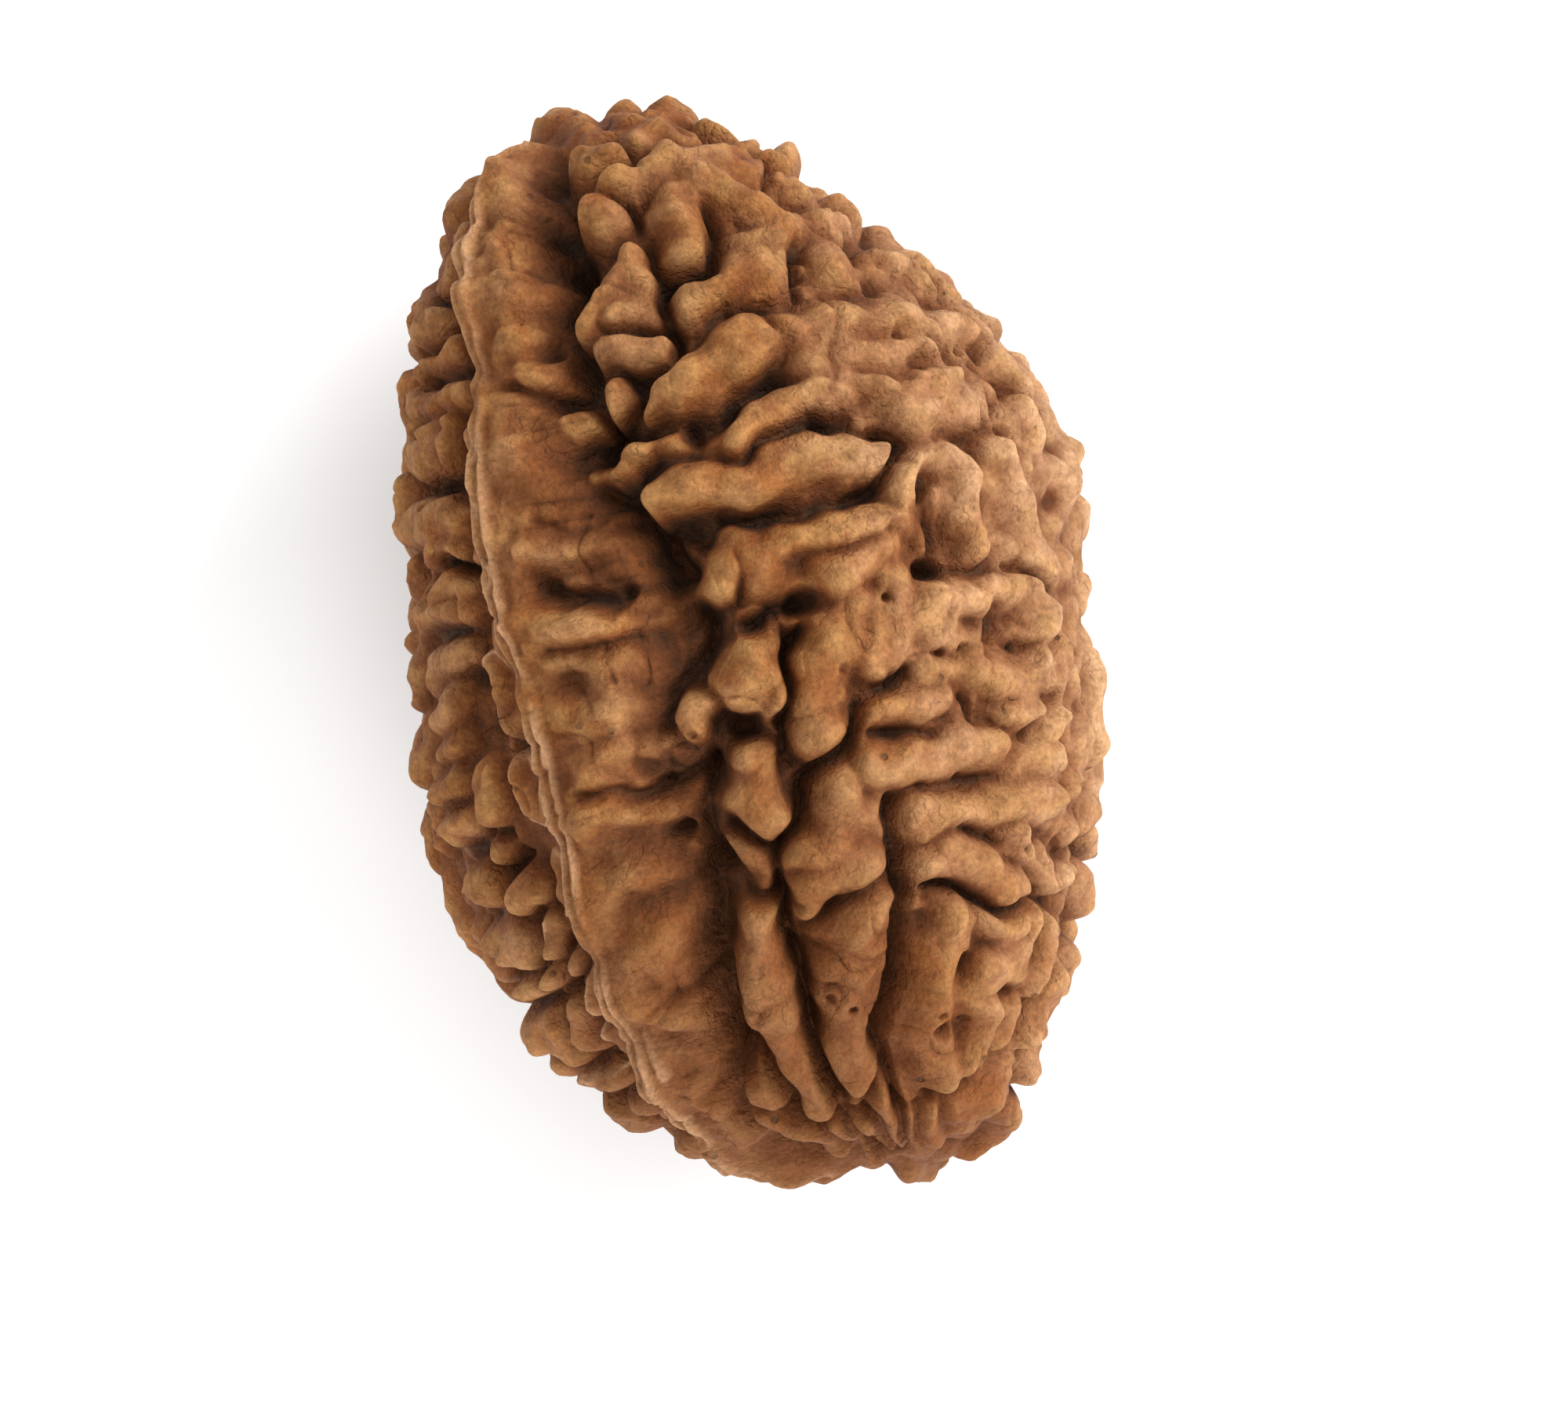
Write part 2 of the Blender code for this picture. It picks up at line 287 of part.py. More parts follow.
# The ridges of the rest of the surface, which no point above describes, come from seeded draws. They
# fill all angles past SEEN_ANGLES, and the corner of the upper side between these x and y.
SEED = 20
FILL_SPACING = 1.95
FILL_TRIES = 9000
FILL_CLEAR = 0.7
SEEN_ANGLES = (math.radians(-72.0), math.radians(76.0))
FILLED_CORNER = ((-12.0, -5.6), (13.3, 18.0))
FILL_WIDTH = (0.65, 1.0)
FILL_STEPS = (1, 5)
FILL_STEP_LENGTH = 1.1
FILL_CREST = (-0.25, 0.08)
RIB_SPACING = 1.9
RIB_HEIGHT = (0.35, 0.75)
SLIT_DEPTH = (0.3, 0.9)

# The resting spot has three broad ridges of its own: (crest, ((x, y, half-width), ...))
REST_RIDGES = (
    (0.05, ((-0.6, -1.6, 1.0), (0.3, 0.0, 1.3), (0.2, 1.6, 1.0))),
    (0.05, ((-2.5, 2.6, 0.9), (-2.3, 0.9, 0.9), (-2.7, -0.8, 0.8))),
    (0.05, ((2.4, -2.6, 0.9), (2.6, -0.9, 0.9), (2.5, 0.9, 0.9))),
    (0.05, ((-0.8, 3.7, 0.9), (1.0, 3.9, 0.9))),
    (0.05, ((-1.2, -3.9, 0.9), (0.7, -4.0, 0.9))),
)

# How a ridge falls away from its crest, how ridges melt into each other, and the uneven surface
WIDER = 0.18
EDGE_DROP = 1.15
SKIRT_SLOPE = 2.6
MELT = 0.12
CLEFT_REACH = 0.3
CLEFT_DEPTH = (0.15, 0.9)
BRANCH_CLEFT = 0.3
CLEFT_FADE = (-0.85, -0.3)
WANDER = ((1.9, 0.35), (0.8, 0.22))
BILLOW = (1.5, 0.55)
UNEVEN = ((1.7, 0.3), (0.8, 0.15), (0.4, 0.04))

SPHERE_LEVEL = 7
TRIANGLES = 10400
SMOOTH_STEPS = 2
BROWN = (0.33, 0.17, 0.08, 1.0)


def spine(y):
    """How far the bead's middle lies to the side at y."""
    stations = np.array(SPINE)
    even = np.linspace(-HALF_LENGTH, HALF_LENGTH, 61)
    offsets = np.interp(even, stations[:, 0], stations[:, 1])
    soft = np.convolve(np.pad(offsets, 2, "edge"), np.ones(5) / 5, "valid")
    return np.interp(y, even, soft)


def fullness(along):
    """How wide the envelope is against an ellipsoid at a share of its half length."""
    stations, factors = np.array(FULLNESS).T
    return np.interp(along, stations, factors)


def on_envelope(directions):
    """The points of the envelope in these directions of a unit sphere."""
    points = directions * (HALF_WIDTH, HALF_LENGTH, HALF_HEIGHT)
    points[:, [0, 2]] *= fullness(directions[:, 1])[:, None]
    points[:, 0] += spine(points[:, 1])
    return points


def outward_from(directions):
    """The unit vectors that point straight out of the envelope in these directions."""
    outward = directions / (HALF_WIDTH, HALF_LENGTH, HALF_HEIGHT)
    return outward / np.linalg.norm(outward, axis=1)[:, None]


def seen_direction(x, y, side=1.0):
    """The direction of the unit sphere whose envelope point is seen at x, y from above, or from below."""
    along = np.clip(y / HALF_LENGTH, -0.995, 0.995)
    round_it = math.sqrt(1 - along * along)
    sideways = (x - spine(y)) / (HALF_WIDTH * fullness(along) * round_it)
    across = np.clip(sideways, -0.99, 0.99) * round_it
    return np.array((across, along, side * math.sqrt(max(1 - across**2 - along**2, 0.0))))


def placed(points, side=1.0):
    """Envelope points for places seen from above or, with side -1, from below."""
    return on_envelope(np.array([seen_direction(p[0], p[1], side) for p in points]))


def noise(points, size, seed):
    """Smooth noise from -1 to 1, with bumps of about this size."""
    cells = 32
    table = np.random.default_rng(seed).uniform(-1, 1, (cells, cells, cells))
    scaled = points / size
    low = np.floor(scaled).astype(int)
    share = scaled - low
    share = share * share * (3 - 2 * share)
    total = np.zeros(len(points))
    for corner in np.ndindex(2, 2, 2):
        weight = np.prod(np.where(corner, share, 1 - share), axis=1)
        x, y, z = ((low + corner) % cells).T
        total += weight * table[x, y, z]
    return total


def along_path(points, path):
    """For each point, its distance from a path and the share of the way along it, by segment."""
    best = np.full(len(points), 1e9)
    place = np.zeros(len(points))
    if len(path) == 1:
        return np.linalg.norm(points - path[0], axis=1), place
    for i, (a, b) in enumerate(zip(path[:-1], path[1:])):
        run = b - a
        t = np.clip((points - a) @ run / (run @ run), 0, 1)
        distance = np.linalg.norm(points - a - t[:, None] * run, axis=1)
        nearer = distance < best
        best = np.where(nearer, distance, best)
        place = np.where(nearer, i + t, place)
    return best, place


def near(points, path, reach):
    """The indices of the points within reach of a path's bounding sphere."""
    middle = (path.min(0) + path.max(0)) / 2
    radius = np.linalg.norm(path - middle, axis=1).max() + reach
    return np.flatnonzero(((points - middle) ** 2).sum(1) < radius * radius)


def ridge_height(distance, half_width, crest):
    """The height of a rounded ridge's surface at a distance from its middle line."""
    share = np.clip(distance / half_width, 0, 1)
    drop = EDGE_DROP * half_width * (0.3 * share**2 + 0.7 * (1 - np.sqrt(1 - share**2)))
    skirt = SKIRT_SLOPE * np.maximum(distance - half_width, 0)
    return crest - drop - skirt


def clefts(first, second, same, points):
    """How far a cleft cuts in where two ridges meet.

    It goes by the distances past the edges of the nearest two ridges, and is shallower between two
    branches of the same ridge.
    """
    size = 2.4
    low, high = CLEFT_DEPTH
    depth = low + (high - low) * np.clip(0.5 + 1.1 * noise(points, size, SEED + 7), 0, 1)
    depth = np.where(same, BRANCH_CLEFT * depth, depth)
    apart = np.clip(1 - (second - first) / (2 * CLEFT_REACH), 0, 1)
    fade = np.clip((first - CLEFT_FADE[0]) / (CLEFT_FADE[1] - CLEFT_FADE[0]), 0, 1)
    edge = np.clip(1.4 - 4 * first, 0, 1)
    return depth * apart**1.4 * fade * fade * (3 - 2 * fade) * edge


def seam_angle(y, far):
    """The angle round the bead, from straight up towards +X, of a seam at y."""
    ys = np.array([p[1] for p in SEAM])[::-1]
    angles = []
    for x, station in SEAM:
        across, _, up = seen_direction(x, station)
        angles.append(math.atan2(across, up))
    angle = np.interp(y, ys, np.array(angles)[::-1])
    if far:
        angle = -0.76 + SEAM_TURN + SEAM_SWAY * np.sin(y / 5.0)
    return angle


def turned(angle):
    """The angle brought into the half turn on either side of zero."""
    return (angle + np.pi) % (2 * np.pi) - np.pi


def from_seam(directions, points, far):
    """Each point's angle from a seam, in degrees, positive on the seam's broad flank."""
    round_it = np.arctan2(directions[:, 0], directions[:, 2])
    away = turned(round_it - seam_angle(points[:, 1], far))
    return np.degrees(-away if far else away)


def seam_path(far):
    """Envelope points along a seam."""
    ys = np.linspace(-0.96 * HALF_LENGTH, 0.96 * HALF_LENGTH, 60)
    angle = seam_angle(ys, far)
    along = ys / HALF_LENGTH
    round_it = np.sqrt(1 - along * along)
    directions = np.stack((np.sin(angle) * round_it, along, np.cos(angle) * round_it), axis=1)
    return on_envelope(directions)


def fill_ridges(taken):
    """Ridges by seeded draws wherever the given ones leave the surface bare."""
    rng = np.random.default_rng(SEED)
    directions = rng.normal(size=(FILL_TRIES, 3))
    directions /= np.linalg.norm(directions, axis=1)[:, None]
    points = on_envelope(directions)
    angles = np.arctan2(directions[:, 0], directions[:, 2])
    (left, right), (low, high) = FILLED_CORNER
    corner = (points[:, 0] > left) & (points[:, 0] < right) & (points[:, 1] > low) & (points[:, 1] < high)
    bare = (angles < SEEN_ANGLES[0]) | (angles > SEEN_ANGLES[1]) | corner
    for far in (False, True):
        away = from_seam(directions, points, far)
        bare &= (away < BARE_FLANK[0]) | (away > BARE_FLANK[1])
    for path, widths in [branch for _, branches in taken for branch in branches]:
        nearby = near(points, path, FILL_CLEAR + max(widths))
        distance, _ = along_path(points[nearby], path)
        bare[nearby] &= distance > FILL_CLEAR + np.mean(widths)
    ridges, starts = [], []
    for start, direction in zip(points[bare], directions[bare]):
        if any(np.linalg.norm(start - other) < FILL_SPACING for other in starts):
            continue
        half_width = rng.uniform(*FILL_WIDTH)
        heading = np.cross(direction, rng.normal(size=3))
        path = [start]
        for _ in range(rng.integers(*FILL_STEPS)):
            heading += 0.8 * rng.normal(size=3)
            unit = direction + FILL_STEP_LENGTH * heading / (np.linalg.norm(heading) * HALF_LENGTH * 0.75)
            direction = unit / np.linalg.norm(unit)
            path.append(on_envelope(direction[None])[0])
        starts += path
        widths = [half_width * rng.uniform(0.8, 1.15) for _ in path]
        ridges.append((rng.uniform(*FILL_CREST), [(np.array(path), widths)]))
    return ridges


def far_ribs():
    """Folds and slits across both flanks of the far seam, each as (height or depth, half-width, path)."""
    rng = np.random.default_rng(SEED + 1)
    ribs, slits = [], []
    for y in np.arange(-14.0, 14.1, RIB_SPACING):
        y += rng.uniform(-0.4, 0.4)
        for first, last in ((3, 22), (-3, -9)):
            for station, kept, sizes, widths in ((y, ribs, RIB_HEIGHT, (0.45, 0.7)),
                                                 (y + RIB_SPACING / 2, slits, SLIT_DEPTH, (0.2, 0.35))):
                degrees = np.linspace(first + rng.uniform(0, 2), last + rng.uniform(-4, 4), 4)
                angle = seam_angle(np.full(4, station), True) - np.radians(degrees)
                along = station / HALF_LENGTH + np.cumsum(rng.uniform(-0.02, 0.02, 4))
                round_it = np.sqrt(1 - along * along)
                directions = np.stack((np.sin(angle) * round_it, along, np.cos(angle) * round_it), axis=1)
                kept.append((rng.uniform(*sizes), rng.uniform(*widths), on_envelope(directions)))
    return ribs, slits


def all_ridges():
    """Every ridge as (crest, ((path, half-widths), ...))."""
    ridges = []
    for side, group in ((1.0, SEEN_RIDGES), (-1.0, REST_RIDGES)):
        for crest, *branches in group:
            ridges.append((crest, [(placed(b, side), [p[2] for p in b]) for b in branches]))
    return ridges + fill_ridges(ridges)


def relief(directions, points):
    """The height of the surface above the envelope at each point, which is below zero in the valleys."""
    outward = outward_from(directions)
    drift = np.zeros_like(points)
    for size, reach in WANDER:
        drift += reach * np.stack([noise(points, size, SEED + k) for k in (2, 3, 4)], axis=1)
    moved = points + drift - outward * (drift * outward).sum(1)[:, None]
    start, end = POLE_FADE
    keel = np.clip((end - np.abs(directions[:, 1])) / (end - start), 0, 1)
    degrees, levels = np.array(GROUND).T
    ground = np.interp(from_seam(directions, points, False), degrees, levels)
    away = from_seam(directions, points, True)
    beside = (away > FAR_GROUND[0]) & (away < FAR_GROUND[1])
    ground = np.where(beside, np.interp(away, degrees, levels), ground)
    ground = ground * keel + POLE_GROUND * (1 - keel)
    ribs, slits = far_ribs()
    for height, half_width, path in [(h, w, placed(path)) for h, w, path in FOLDS] + ribs:
        nearby = near(moved, path, 2 * half_width)
        distance, _ = along_path(moved[nearby], path)
        ground[nearby] += height * np.exp(-((distance / half_width) ** 2))
    size, reach = BILLOW
    ground += reach * (np.abs(noise(moved, size, SEED + 5)) - 0.25)
    mixed = np.exp(ground / MELT)
    first = np.full(len(points), 9.0)
    second = np.full(len(points), 9.0)
    owner = np.full(len(points), -1)
    same = np.zeros(len(points), bool)
    for number, (crest, branches) in enumerate(all_ridges()):
        for path, widths in branches:
            nearby = near(moved, path, max(widths) + 0.9)
            distance, place = along_path(moved[nearby], path)
            half_width = np.interp(place, np.arange(len(widths)), widths) + WIDER
            mixed[nearby] += np.exp(ridge_height(distance, half_width, crest) / MELT)
            past = distance - half_width
            closest = past < first[nearby]
            next_one = (past < second[nearby]) & ~closest
            same[nearby] = np.where(closest | next_one, owner[nearby] == number, same[nearby])
            second[nearby] = np.where(closest, first[nearby], np.where(next_one, past, second[nearby]))
            first[nearby] = np.where(closest, past, first[nearby])
            owner[nearby] = np.where(closest, number, owner[nearby])
    surface = MELT * np.log(mixed) - clefts(first, second, same, points)
    for depth, half_width, path in [(d, w, placed(path)) for d, w, path in CREASES] + slits:
        nearby = near(moved, path, half_width)
        distance, _ = along_path(moved[nearby], path)
        surface[nearby] -= depth * np.clip(1 - distance / half_width, 0, 1) ** 1.3
    for depth, radius, x, y in PITS:
        path = placed(((x, y),))
        nearby = near(moved, path, radius)
        distance = np.linalg.norm(moved[nearby] - path[0], axis=1)
        surface[nearby] -= depth * (1 - np.clip(distance / radius, 0, 1) ** 2)
    for far in (False, True):
        path = seam_path(far)
        distance, _ = along_path(points, path)
        lips = np.exp(-(((distance - SEAM_LIP_GAP) / SEAM_LIP_WIDTH) ** 2))
        surface += SEAM_LIP_HEIGHT * lips * keel
    for size, reach in UNEVEN:
        surface += reach * noise(points, size, SEED + 6)
    return surface


def bead_mesh():
    """The bead's surface, as a fine sphere pushed out to the envelope and carved with the relief."""
    shape = bmesh.new()
    bmesh.ops.create_icosphere(shape, subdivisions=SPHERE_LEVEL, radius=1.0)
    mesh = bpy.data.meshes.new("bead")
    shape.to_mesh(mesh)
    shape.free()
    directions = np.empty(len(mesh.vertices) * 3)
    mesh.vertices.foreach_get("co", directions)
    directions = directions.reshape(-1, 3)
    directions /= np.linalg.norm(directions, axis=1)[:, None]
    points = on_envelope(directions)
    carved = points + outward_from(directions) * relief(directions, points)[:, None]
    carved[:, 2] += AXIS_HEIGHT
    mesh.vertices.foreach_set("co", (carved * MM).ravel())
    mesh.update()
    return mesh


def thinned(bead):
    """The bead with its surface eased and brought down to few triangles, as a plain mesh."""
    ease = bead.modifiers.new("ease", "SMOOTH")
    ease.factor = 0.5
    ease.iterations = SMOOTH_STEPS
    thin = bead.modifiers.new("thin", "DECIMATE")
    thin.ratio = TRIANGLES / len(bead.data.polygons)
    graph = bpy.context.evaluated_depsgraph_get()
    mesh = bpy.data.meshes.new_from_object(bead.evaluated_get(graph))
    bead.modifiers.clear()
    return mesh


def wear_flat(mesh):
    """The underside worn to the plane that the bead lies on, and the bead's box brought over the origin."""
    places = np.empty(len(mesh.vertices) * 3)
    mesh.vertices.foreach_get("co", places)
    places = places.reshape(-1, 3)
    places[:, 2] = np.maximum(places[:, 2], 0.0)
    places[:, :2] -= (places.min(0) + places.max(0))[:2] / 2
    mesh.vertices.foreach_set("co", places.ravel())
    mesh.update()


def shell_material():
    """Dry, matt brown stone."""
    material = bpy.data.materials.new("dry_stone")
    material.use_nodes = True
    shader = material.node_tree.nodes["Principled BSDF"]
    shader.inputs["Base Color"].default_value = BROWN
    shader.inputs["Roughness"].default_value = 0.85
    shader.inputs["Metallic"].default_value = 0.0
    return material


def build():
    for old in list(bpy.data.objects):
        bpy.data.objects.remove(old)
    collection = bpy.data.collections.new("rudraksha_bead")
    bpy.context.scene.collection.children.link(collection)
    bead = bpy.data.objects.new("bead", bead_mesh())
    collection.objects.link(bead)
    bead.data = thinned(bead)
    wear_flat(bead.data)
    bead.data.materials.append(shell_material())
    bead.data.shade_smooth()


build()
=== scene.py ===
"""A rudraksha bead lying on a pale surface, seen from straight above.

The bead's finer surface is made by the same formula as the solid, with many more points.
Lengths are in millimetres unless a name says otherwise, and meshes are in metres.
"""

import math

import bmesh
import bpy
import numpy as np
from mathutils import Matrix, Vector


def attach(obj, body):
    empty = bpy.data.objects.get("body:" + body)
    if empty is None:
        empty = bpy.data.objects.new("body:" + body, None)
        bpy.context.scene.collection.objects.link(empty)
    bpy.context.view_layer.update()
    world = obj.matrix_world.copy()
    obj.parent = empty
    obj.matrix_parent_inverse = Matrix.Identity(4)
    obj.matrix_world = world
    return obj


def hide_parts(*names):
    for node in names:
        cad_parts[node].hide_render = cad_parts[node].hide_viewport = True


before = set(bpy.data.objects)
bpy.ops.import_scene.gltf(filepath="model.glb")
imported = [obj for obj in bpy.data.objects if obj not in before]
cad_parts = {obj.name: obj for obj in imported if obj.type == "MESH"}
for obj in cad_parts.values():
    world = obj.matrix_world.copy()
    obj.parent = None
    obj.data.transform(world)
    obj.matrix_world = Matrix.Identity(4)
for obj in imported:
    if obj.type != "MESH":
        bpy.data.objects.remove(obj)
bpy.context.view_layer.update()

MM = 0.001

# The smooth envelope that the crests of the ridges touch
HALF_LENGTH = 17.15
HALF_WIDTH = 10.7
HALF_HEIGHT = 10.3
# How wide it is against an ellipsoid at stations along its length: (share of the half length, factor)
FULLNESS = ((-1.0, 1.0), (-0.75, 1.03), (-0.5, 1.03), (0.0, 1.0), (0.35, 1.01), (0.5, 0.97),
            (0.65, 0.94), (0.8, 0.94), (1.0, 1.0))
# How far the middle of the bead lies to the side at stations along its length: (y, x)
SPINE = ((-17.2, 2.0), (-16.0, 1.1), (-15.0, 0.1), (-13.0, -0.35), (-9.0, -0.65), (-3.0, -0.45),
         (1.0, 0.1), (5.0, 0.5), (9.0, 0.05), (13.0, -1.0), (17.2, -1.0))

# The resting spot: the underside is worn flat this far inside the envelope
WORN_DEPTH = 0.4
AXIS_HEIGHT = HALF_HEIGHT - WORN_DEPTH

# The seam that is seen from above, as (x, y), and the turn from it to the one on the far side
SEAM = ((-4.2, 15.9), (-5.0, 14.8), (-5.6, 13.2), (-5.95, 11.4), (-6.1, 9.8), (-6.45, 8.3), (-6.75, 6.7),
        (-7.0, 5.0), (-7.15, 3.0), (-7.05, 1.0), (-6.85, -1.0), (-6.9, -4.0), (-6.8, -7.0), (-6.5, -9.5),
        (-6.1, -11.3), (-5.6, -12.8), (-4.9, -14.3), (-3.7, -15.6))
SEAM_ANGLE = -0.76
SEAM_TURN = math.radians(180.0)
SEAM_SWAY = math.radians(4.0)
SEAM_LIP_GAP = 0.2
SEAM_LIP_WIDTH = 0.13
SEAM_LIP_HEIGHT = 0.2

# Level of the ground under the ridges against the angle from the seen seam, in degrees. The broad
# flank of a seam is on its positive side, and the steep one on its negative side. The far seam takes
# the part of the same table that lies beside a seam.
GROUND = ((-180, -0.75), (-22, -0.75), (-14, -1.1), (-8, -1.0), (-2.5, -0.2), (0, 0.0), (2, -0.1),
          (6, -0.2), (11, -0.4), (15, -0.7), (20, -1.3), (25, -1.65), (30, -1.75), (36, -1.5), (45, -1.0),
          (58, -0.75), (75, -0.5),
          (115, -0.5), (135, -0.75), (180, -0.75))
FAR_GROUND = (-22, 58)
POLE_GROUND = -0.7
POLE_FADE = (0.94, 0.995)
BARE_FLANK = (-9.0, 28.0)

# Ridges on the upper side: (level of the crest, ((x, y, half-width), ...), ...), with a path for each
# branch of a ridge. Only shallow clefts part the branches of one ridge.
CROWN_RIDGES = (
    (-0.25, ((0.2, 16.0, 0.6), (1.0, 16.3, 0.6), (1.9, 15.7, 0.6))),
    (0.0, ((0.3, 14.8, 0.6), (1.4, 15.0, 0.85), (2.5, 14.7, 0.8), (3.5, 14.2, 0.6)),
     ((1.9, 14.2, 0.8), (2.7, 13.4, 0.85), (3.3, 12.8, 0.85), (3.8, 12.2, 0.8)),
     ((0.6, 13.8, 0.75), (0.55, 13.0, 0.85), (0.8, 12.3, 0.7)),
     ((0.5, 10.4, 0.75), (1.4, 10.6, 0.65), (2.4, 11.0, 0.75), (3.4, 11.7, 0.85), (4.5, 12.1, 0.85),
      (5.4, 11.8, 0.7)),
     ((2.8, 10.5, 0.6), (3.3, 11.0, 0.7)), ((4.9, 10.6, 0.75), (5.1, 11.5, 0.85)),
     ((-1.2, 14.7, 0.35), (-0.4, 14.5, 0.5), (0.3, 14.6, 0.5))),
    (0.0, ((-1.7, 15.7, 0.55), (-1.0, 15.6, 0.65))),
    (-0.05, ((-1.9, 14.0, 0.5), (-1.4, 13.6, 0.5))),
    (-0.1, ((2.6, 15.7, 0.4), (3.6, 15.3, 0.5))),
    (-0.1, ((3.9, 14.7, 0.4), (4.3, 14.1, 0.4))),
    (-0.2, ((4.3, 13.6, 0.45), (5.0, 13.1, 0.45))),
    (-0.05, ((6.0, 12.5, 0.4), (6.3, 12.0, 0.45))),
    (0.05, ((-0.95, 12.2, 0.4), (-0.8, 11.6, 0.65), (-1.2, 11.0, 0.75), (-1.8, 10.8, 0.55)),
     ((-1.4, 11.9, 0.4), (-2.1, 11.2, 0.45), (-2.8, 10.6, 0.3))),
    (-0.1, ((-2.4, 9.8, 0.5), (-1.5, 9.5, 0.6), (-1.0, 9.4, 0.5))),
    (0.0, ((6.7, 10.4, 0.6), (7.5, 10.2, 0.7), (7.8, 9.5, 0.6))),
)
SHOULDER_RIDGES = (
    (0.05, ((3.7, 9.0, 0.95), (4.9, 8.9, 1.0), (6.0, 8.9, 0.9), (7.2, 8.6, 0.7)),
     ((4.0, 8.0, 0.9), (5.2, 7.9, 0.9), (6.2, 7.6, 0.8), (7.0, 7.7, 0.6)),
     ((-0.6, 7.8, 0.75), (0.5, 8.3, 0.9), (1.6, 8.7, 0.85), (2.6, 8.9, 0.7)),
     ((1.1, 5.9, 0.5), (1.7, 6.4, 0.55), (2.5, 6.8, 0.65), (3.4, 6.9, 0.55), (4.4, 6.9, 0.6)),
     ((4.6, 7.3, 0.6), (5.3, 6.9, 0.6), (5.8, 6.3, 0.7)),
     ((6.2, 5.9, 0.95), (7.3, 5.9, 1.1), (8.3, 5.7, 1.0)), ((6.9, 6.6, 0.6), (8.0, 6.6, 0.6)),
     ((7.6, 8.3, 0.6), (8.3, 8.0, 0.55), (8.8, 7.6, 0.5)),
     ((6.4, 4.1, 0.6), (7.2, 4.1, 0.65), (7.7, 3.4, 0.55), (7.5, 2.4, 0.5), (7.5, 1.6, 0.45)),
     ((8.8, 4.0, 0.75), (9.0, 2.8, 1.0), (9.2, 1.5, 1.05), (9.5, 0.3, 0.8))),
    (0.0, ((9.4, 6.8, 0.7), (9.9, 6.0, 0.7))),
    (0.0, ((9.7, 5.0, 0.6), (9.9, 4.3, 0.6))),
    (-0.3, ((-2.6, 8.4, 0.5), (-2.5, 8.1, 0.5))),
    (-0.5, ((-3.9, 6.3, 0.35), (-3.0, 6.3, 0.45), (-2.2, 6.5, 0.4), (-0.9, 6.6, 0.35))),
    (-0.45, ((-4.1, 7.8, 0.4), (-3.6, 7.8, 0.4))),
)
MIDDLE_RIDGES = (
    (0.1, ((-1.8, 5.0, 0.6), (-1.0, 5.2, 0.75), (0.0, 4.75, 0.65), (1.0, 4.45, 0.5), (1.9, 4.5, 0.55),
           (2.6, 4.8, 0.8), (3.4, 5.0, 0.95), (4.3, 4.7, 0.75), (5.1, 4.35, 0.4))),
    (0.02, ((0.0, 2.9, 0.5), (-0.5, 2.4, 0.45), (-0.7, 1.9, 0.4)), ((0.3, 2.7, 0.6), (0.8, 2.25, 0.8)),
     ((1.2, 2.5, 0.55), (2.4, 2.6, 0.45), (3.5, 2.8, 0.45), (4.5, 2.9, 0.5), (5.4, 2.7, 0.55)),
     ((2.8, 1.3, 0.7), (3.7, 1.5, 0.75), (4.6, 1.9, 0.7)),
     ((3.3, 0.4, 0.75), (2.6, -0.5, 0.85), (1.9, -1.5, 0.85), (1.4, -2.5, 0.8), (1.2, -3.3, 0.6)),
     ((4.6, 1.0, 0.75), (4.5, 0.0, 0.85), (4.6, -0.9, 0.75)), ((3.8, -0.3, 0.7), (3.5, -1.1, 0.5)),
     ((5.3, -0.6, 0.6), (6.0, -1.2, 0.6), (6.7, -1.6, 0.5)),
     ((5.3, 2.6, 0.5), (5.6, 3.4, 0.5), (6.3, 4.0, 0.55)),
     ((5.7, 0.1, 0.5), (6.3, -0.2, 0.6), (7.0, -0.2, 0.5), (7.6, 0.1, 0.5)),
     ((8.0, -0.2, 0.45), (8.7, -0.5, 0.5), (9.0, -1.2, 0.45), (8.7, -1.9, 0.45)),
     ((6.7, -2.5, 0.8), (7.6, -2.8, 0.95), (8.4, -2.8, 0.7)), ((7.0, -3.6, 0.5), (7.9, -3.6, 0.5)),
     ((3.4, -2.8, 0.6), (4.4, -2.9, 0.75), (5.2, -2.8, 0.75)), ((5.3, -2.0, 0.5), (6.1, -2.1, 0.5)),
     ((2.7, -4.6, 0.5), (3.7, -4.8, 0.65), (4.6, -4.7, 0.6), (5.6, -4.5, 0.6), (6.5, -4.6, 0.55)),
     ((7.2, -5.4, 0.75), (8.1, -5.6, 0.7)), ((7.9, -4.5, 0.5), (8.5, -4.4, 0.45)),
     ((9.3, -2.5, 0.5), (9.4, -3.5, 0.5)), ((9.4, -5.2, 0.6),), ((8.9, -6.5, 0.5),),
     ((3.8, -6.3, 0.5), (4.9, -6.3, 0.6), (6.0, -6.3, 0.6), (6.9, -6.5, 0.6), (7.8, -6.9, 0.7)),
     ((3.9, -7.6, 0.6), (4.8, -7.8, 0.8), (5.7, -8.3, 0.7), (6.5, -9.2, 0.6)),
     ((6.6, -7.6, 0.5), (7.3, -8.7, 0.6), (7.4, -9.7, 0.5)), ((8.4, -8.0, 0.55),), ((8.0, -9.4, 0.5),)),
    (0.1, ((0.1, -0.5, 0.8), (-0.4, -0.8, 1.1), (-0.6, -1.0, 1.0)), ((0.15, -1.1, 0.7), (0.15, -1.7, 0.5))),
    (-0.3, ((-1.6, -1.3, 0.4), (-2.1, -1.5, 0.45), (-2.5, -1.9, 0.4))),
    (0.05, ((-0.8, -3.9, 0.8), (-1.0, -4.6, 1.0), (-0.9, -5.2, 0.75))),
)
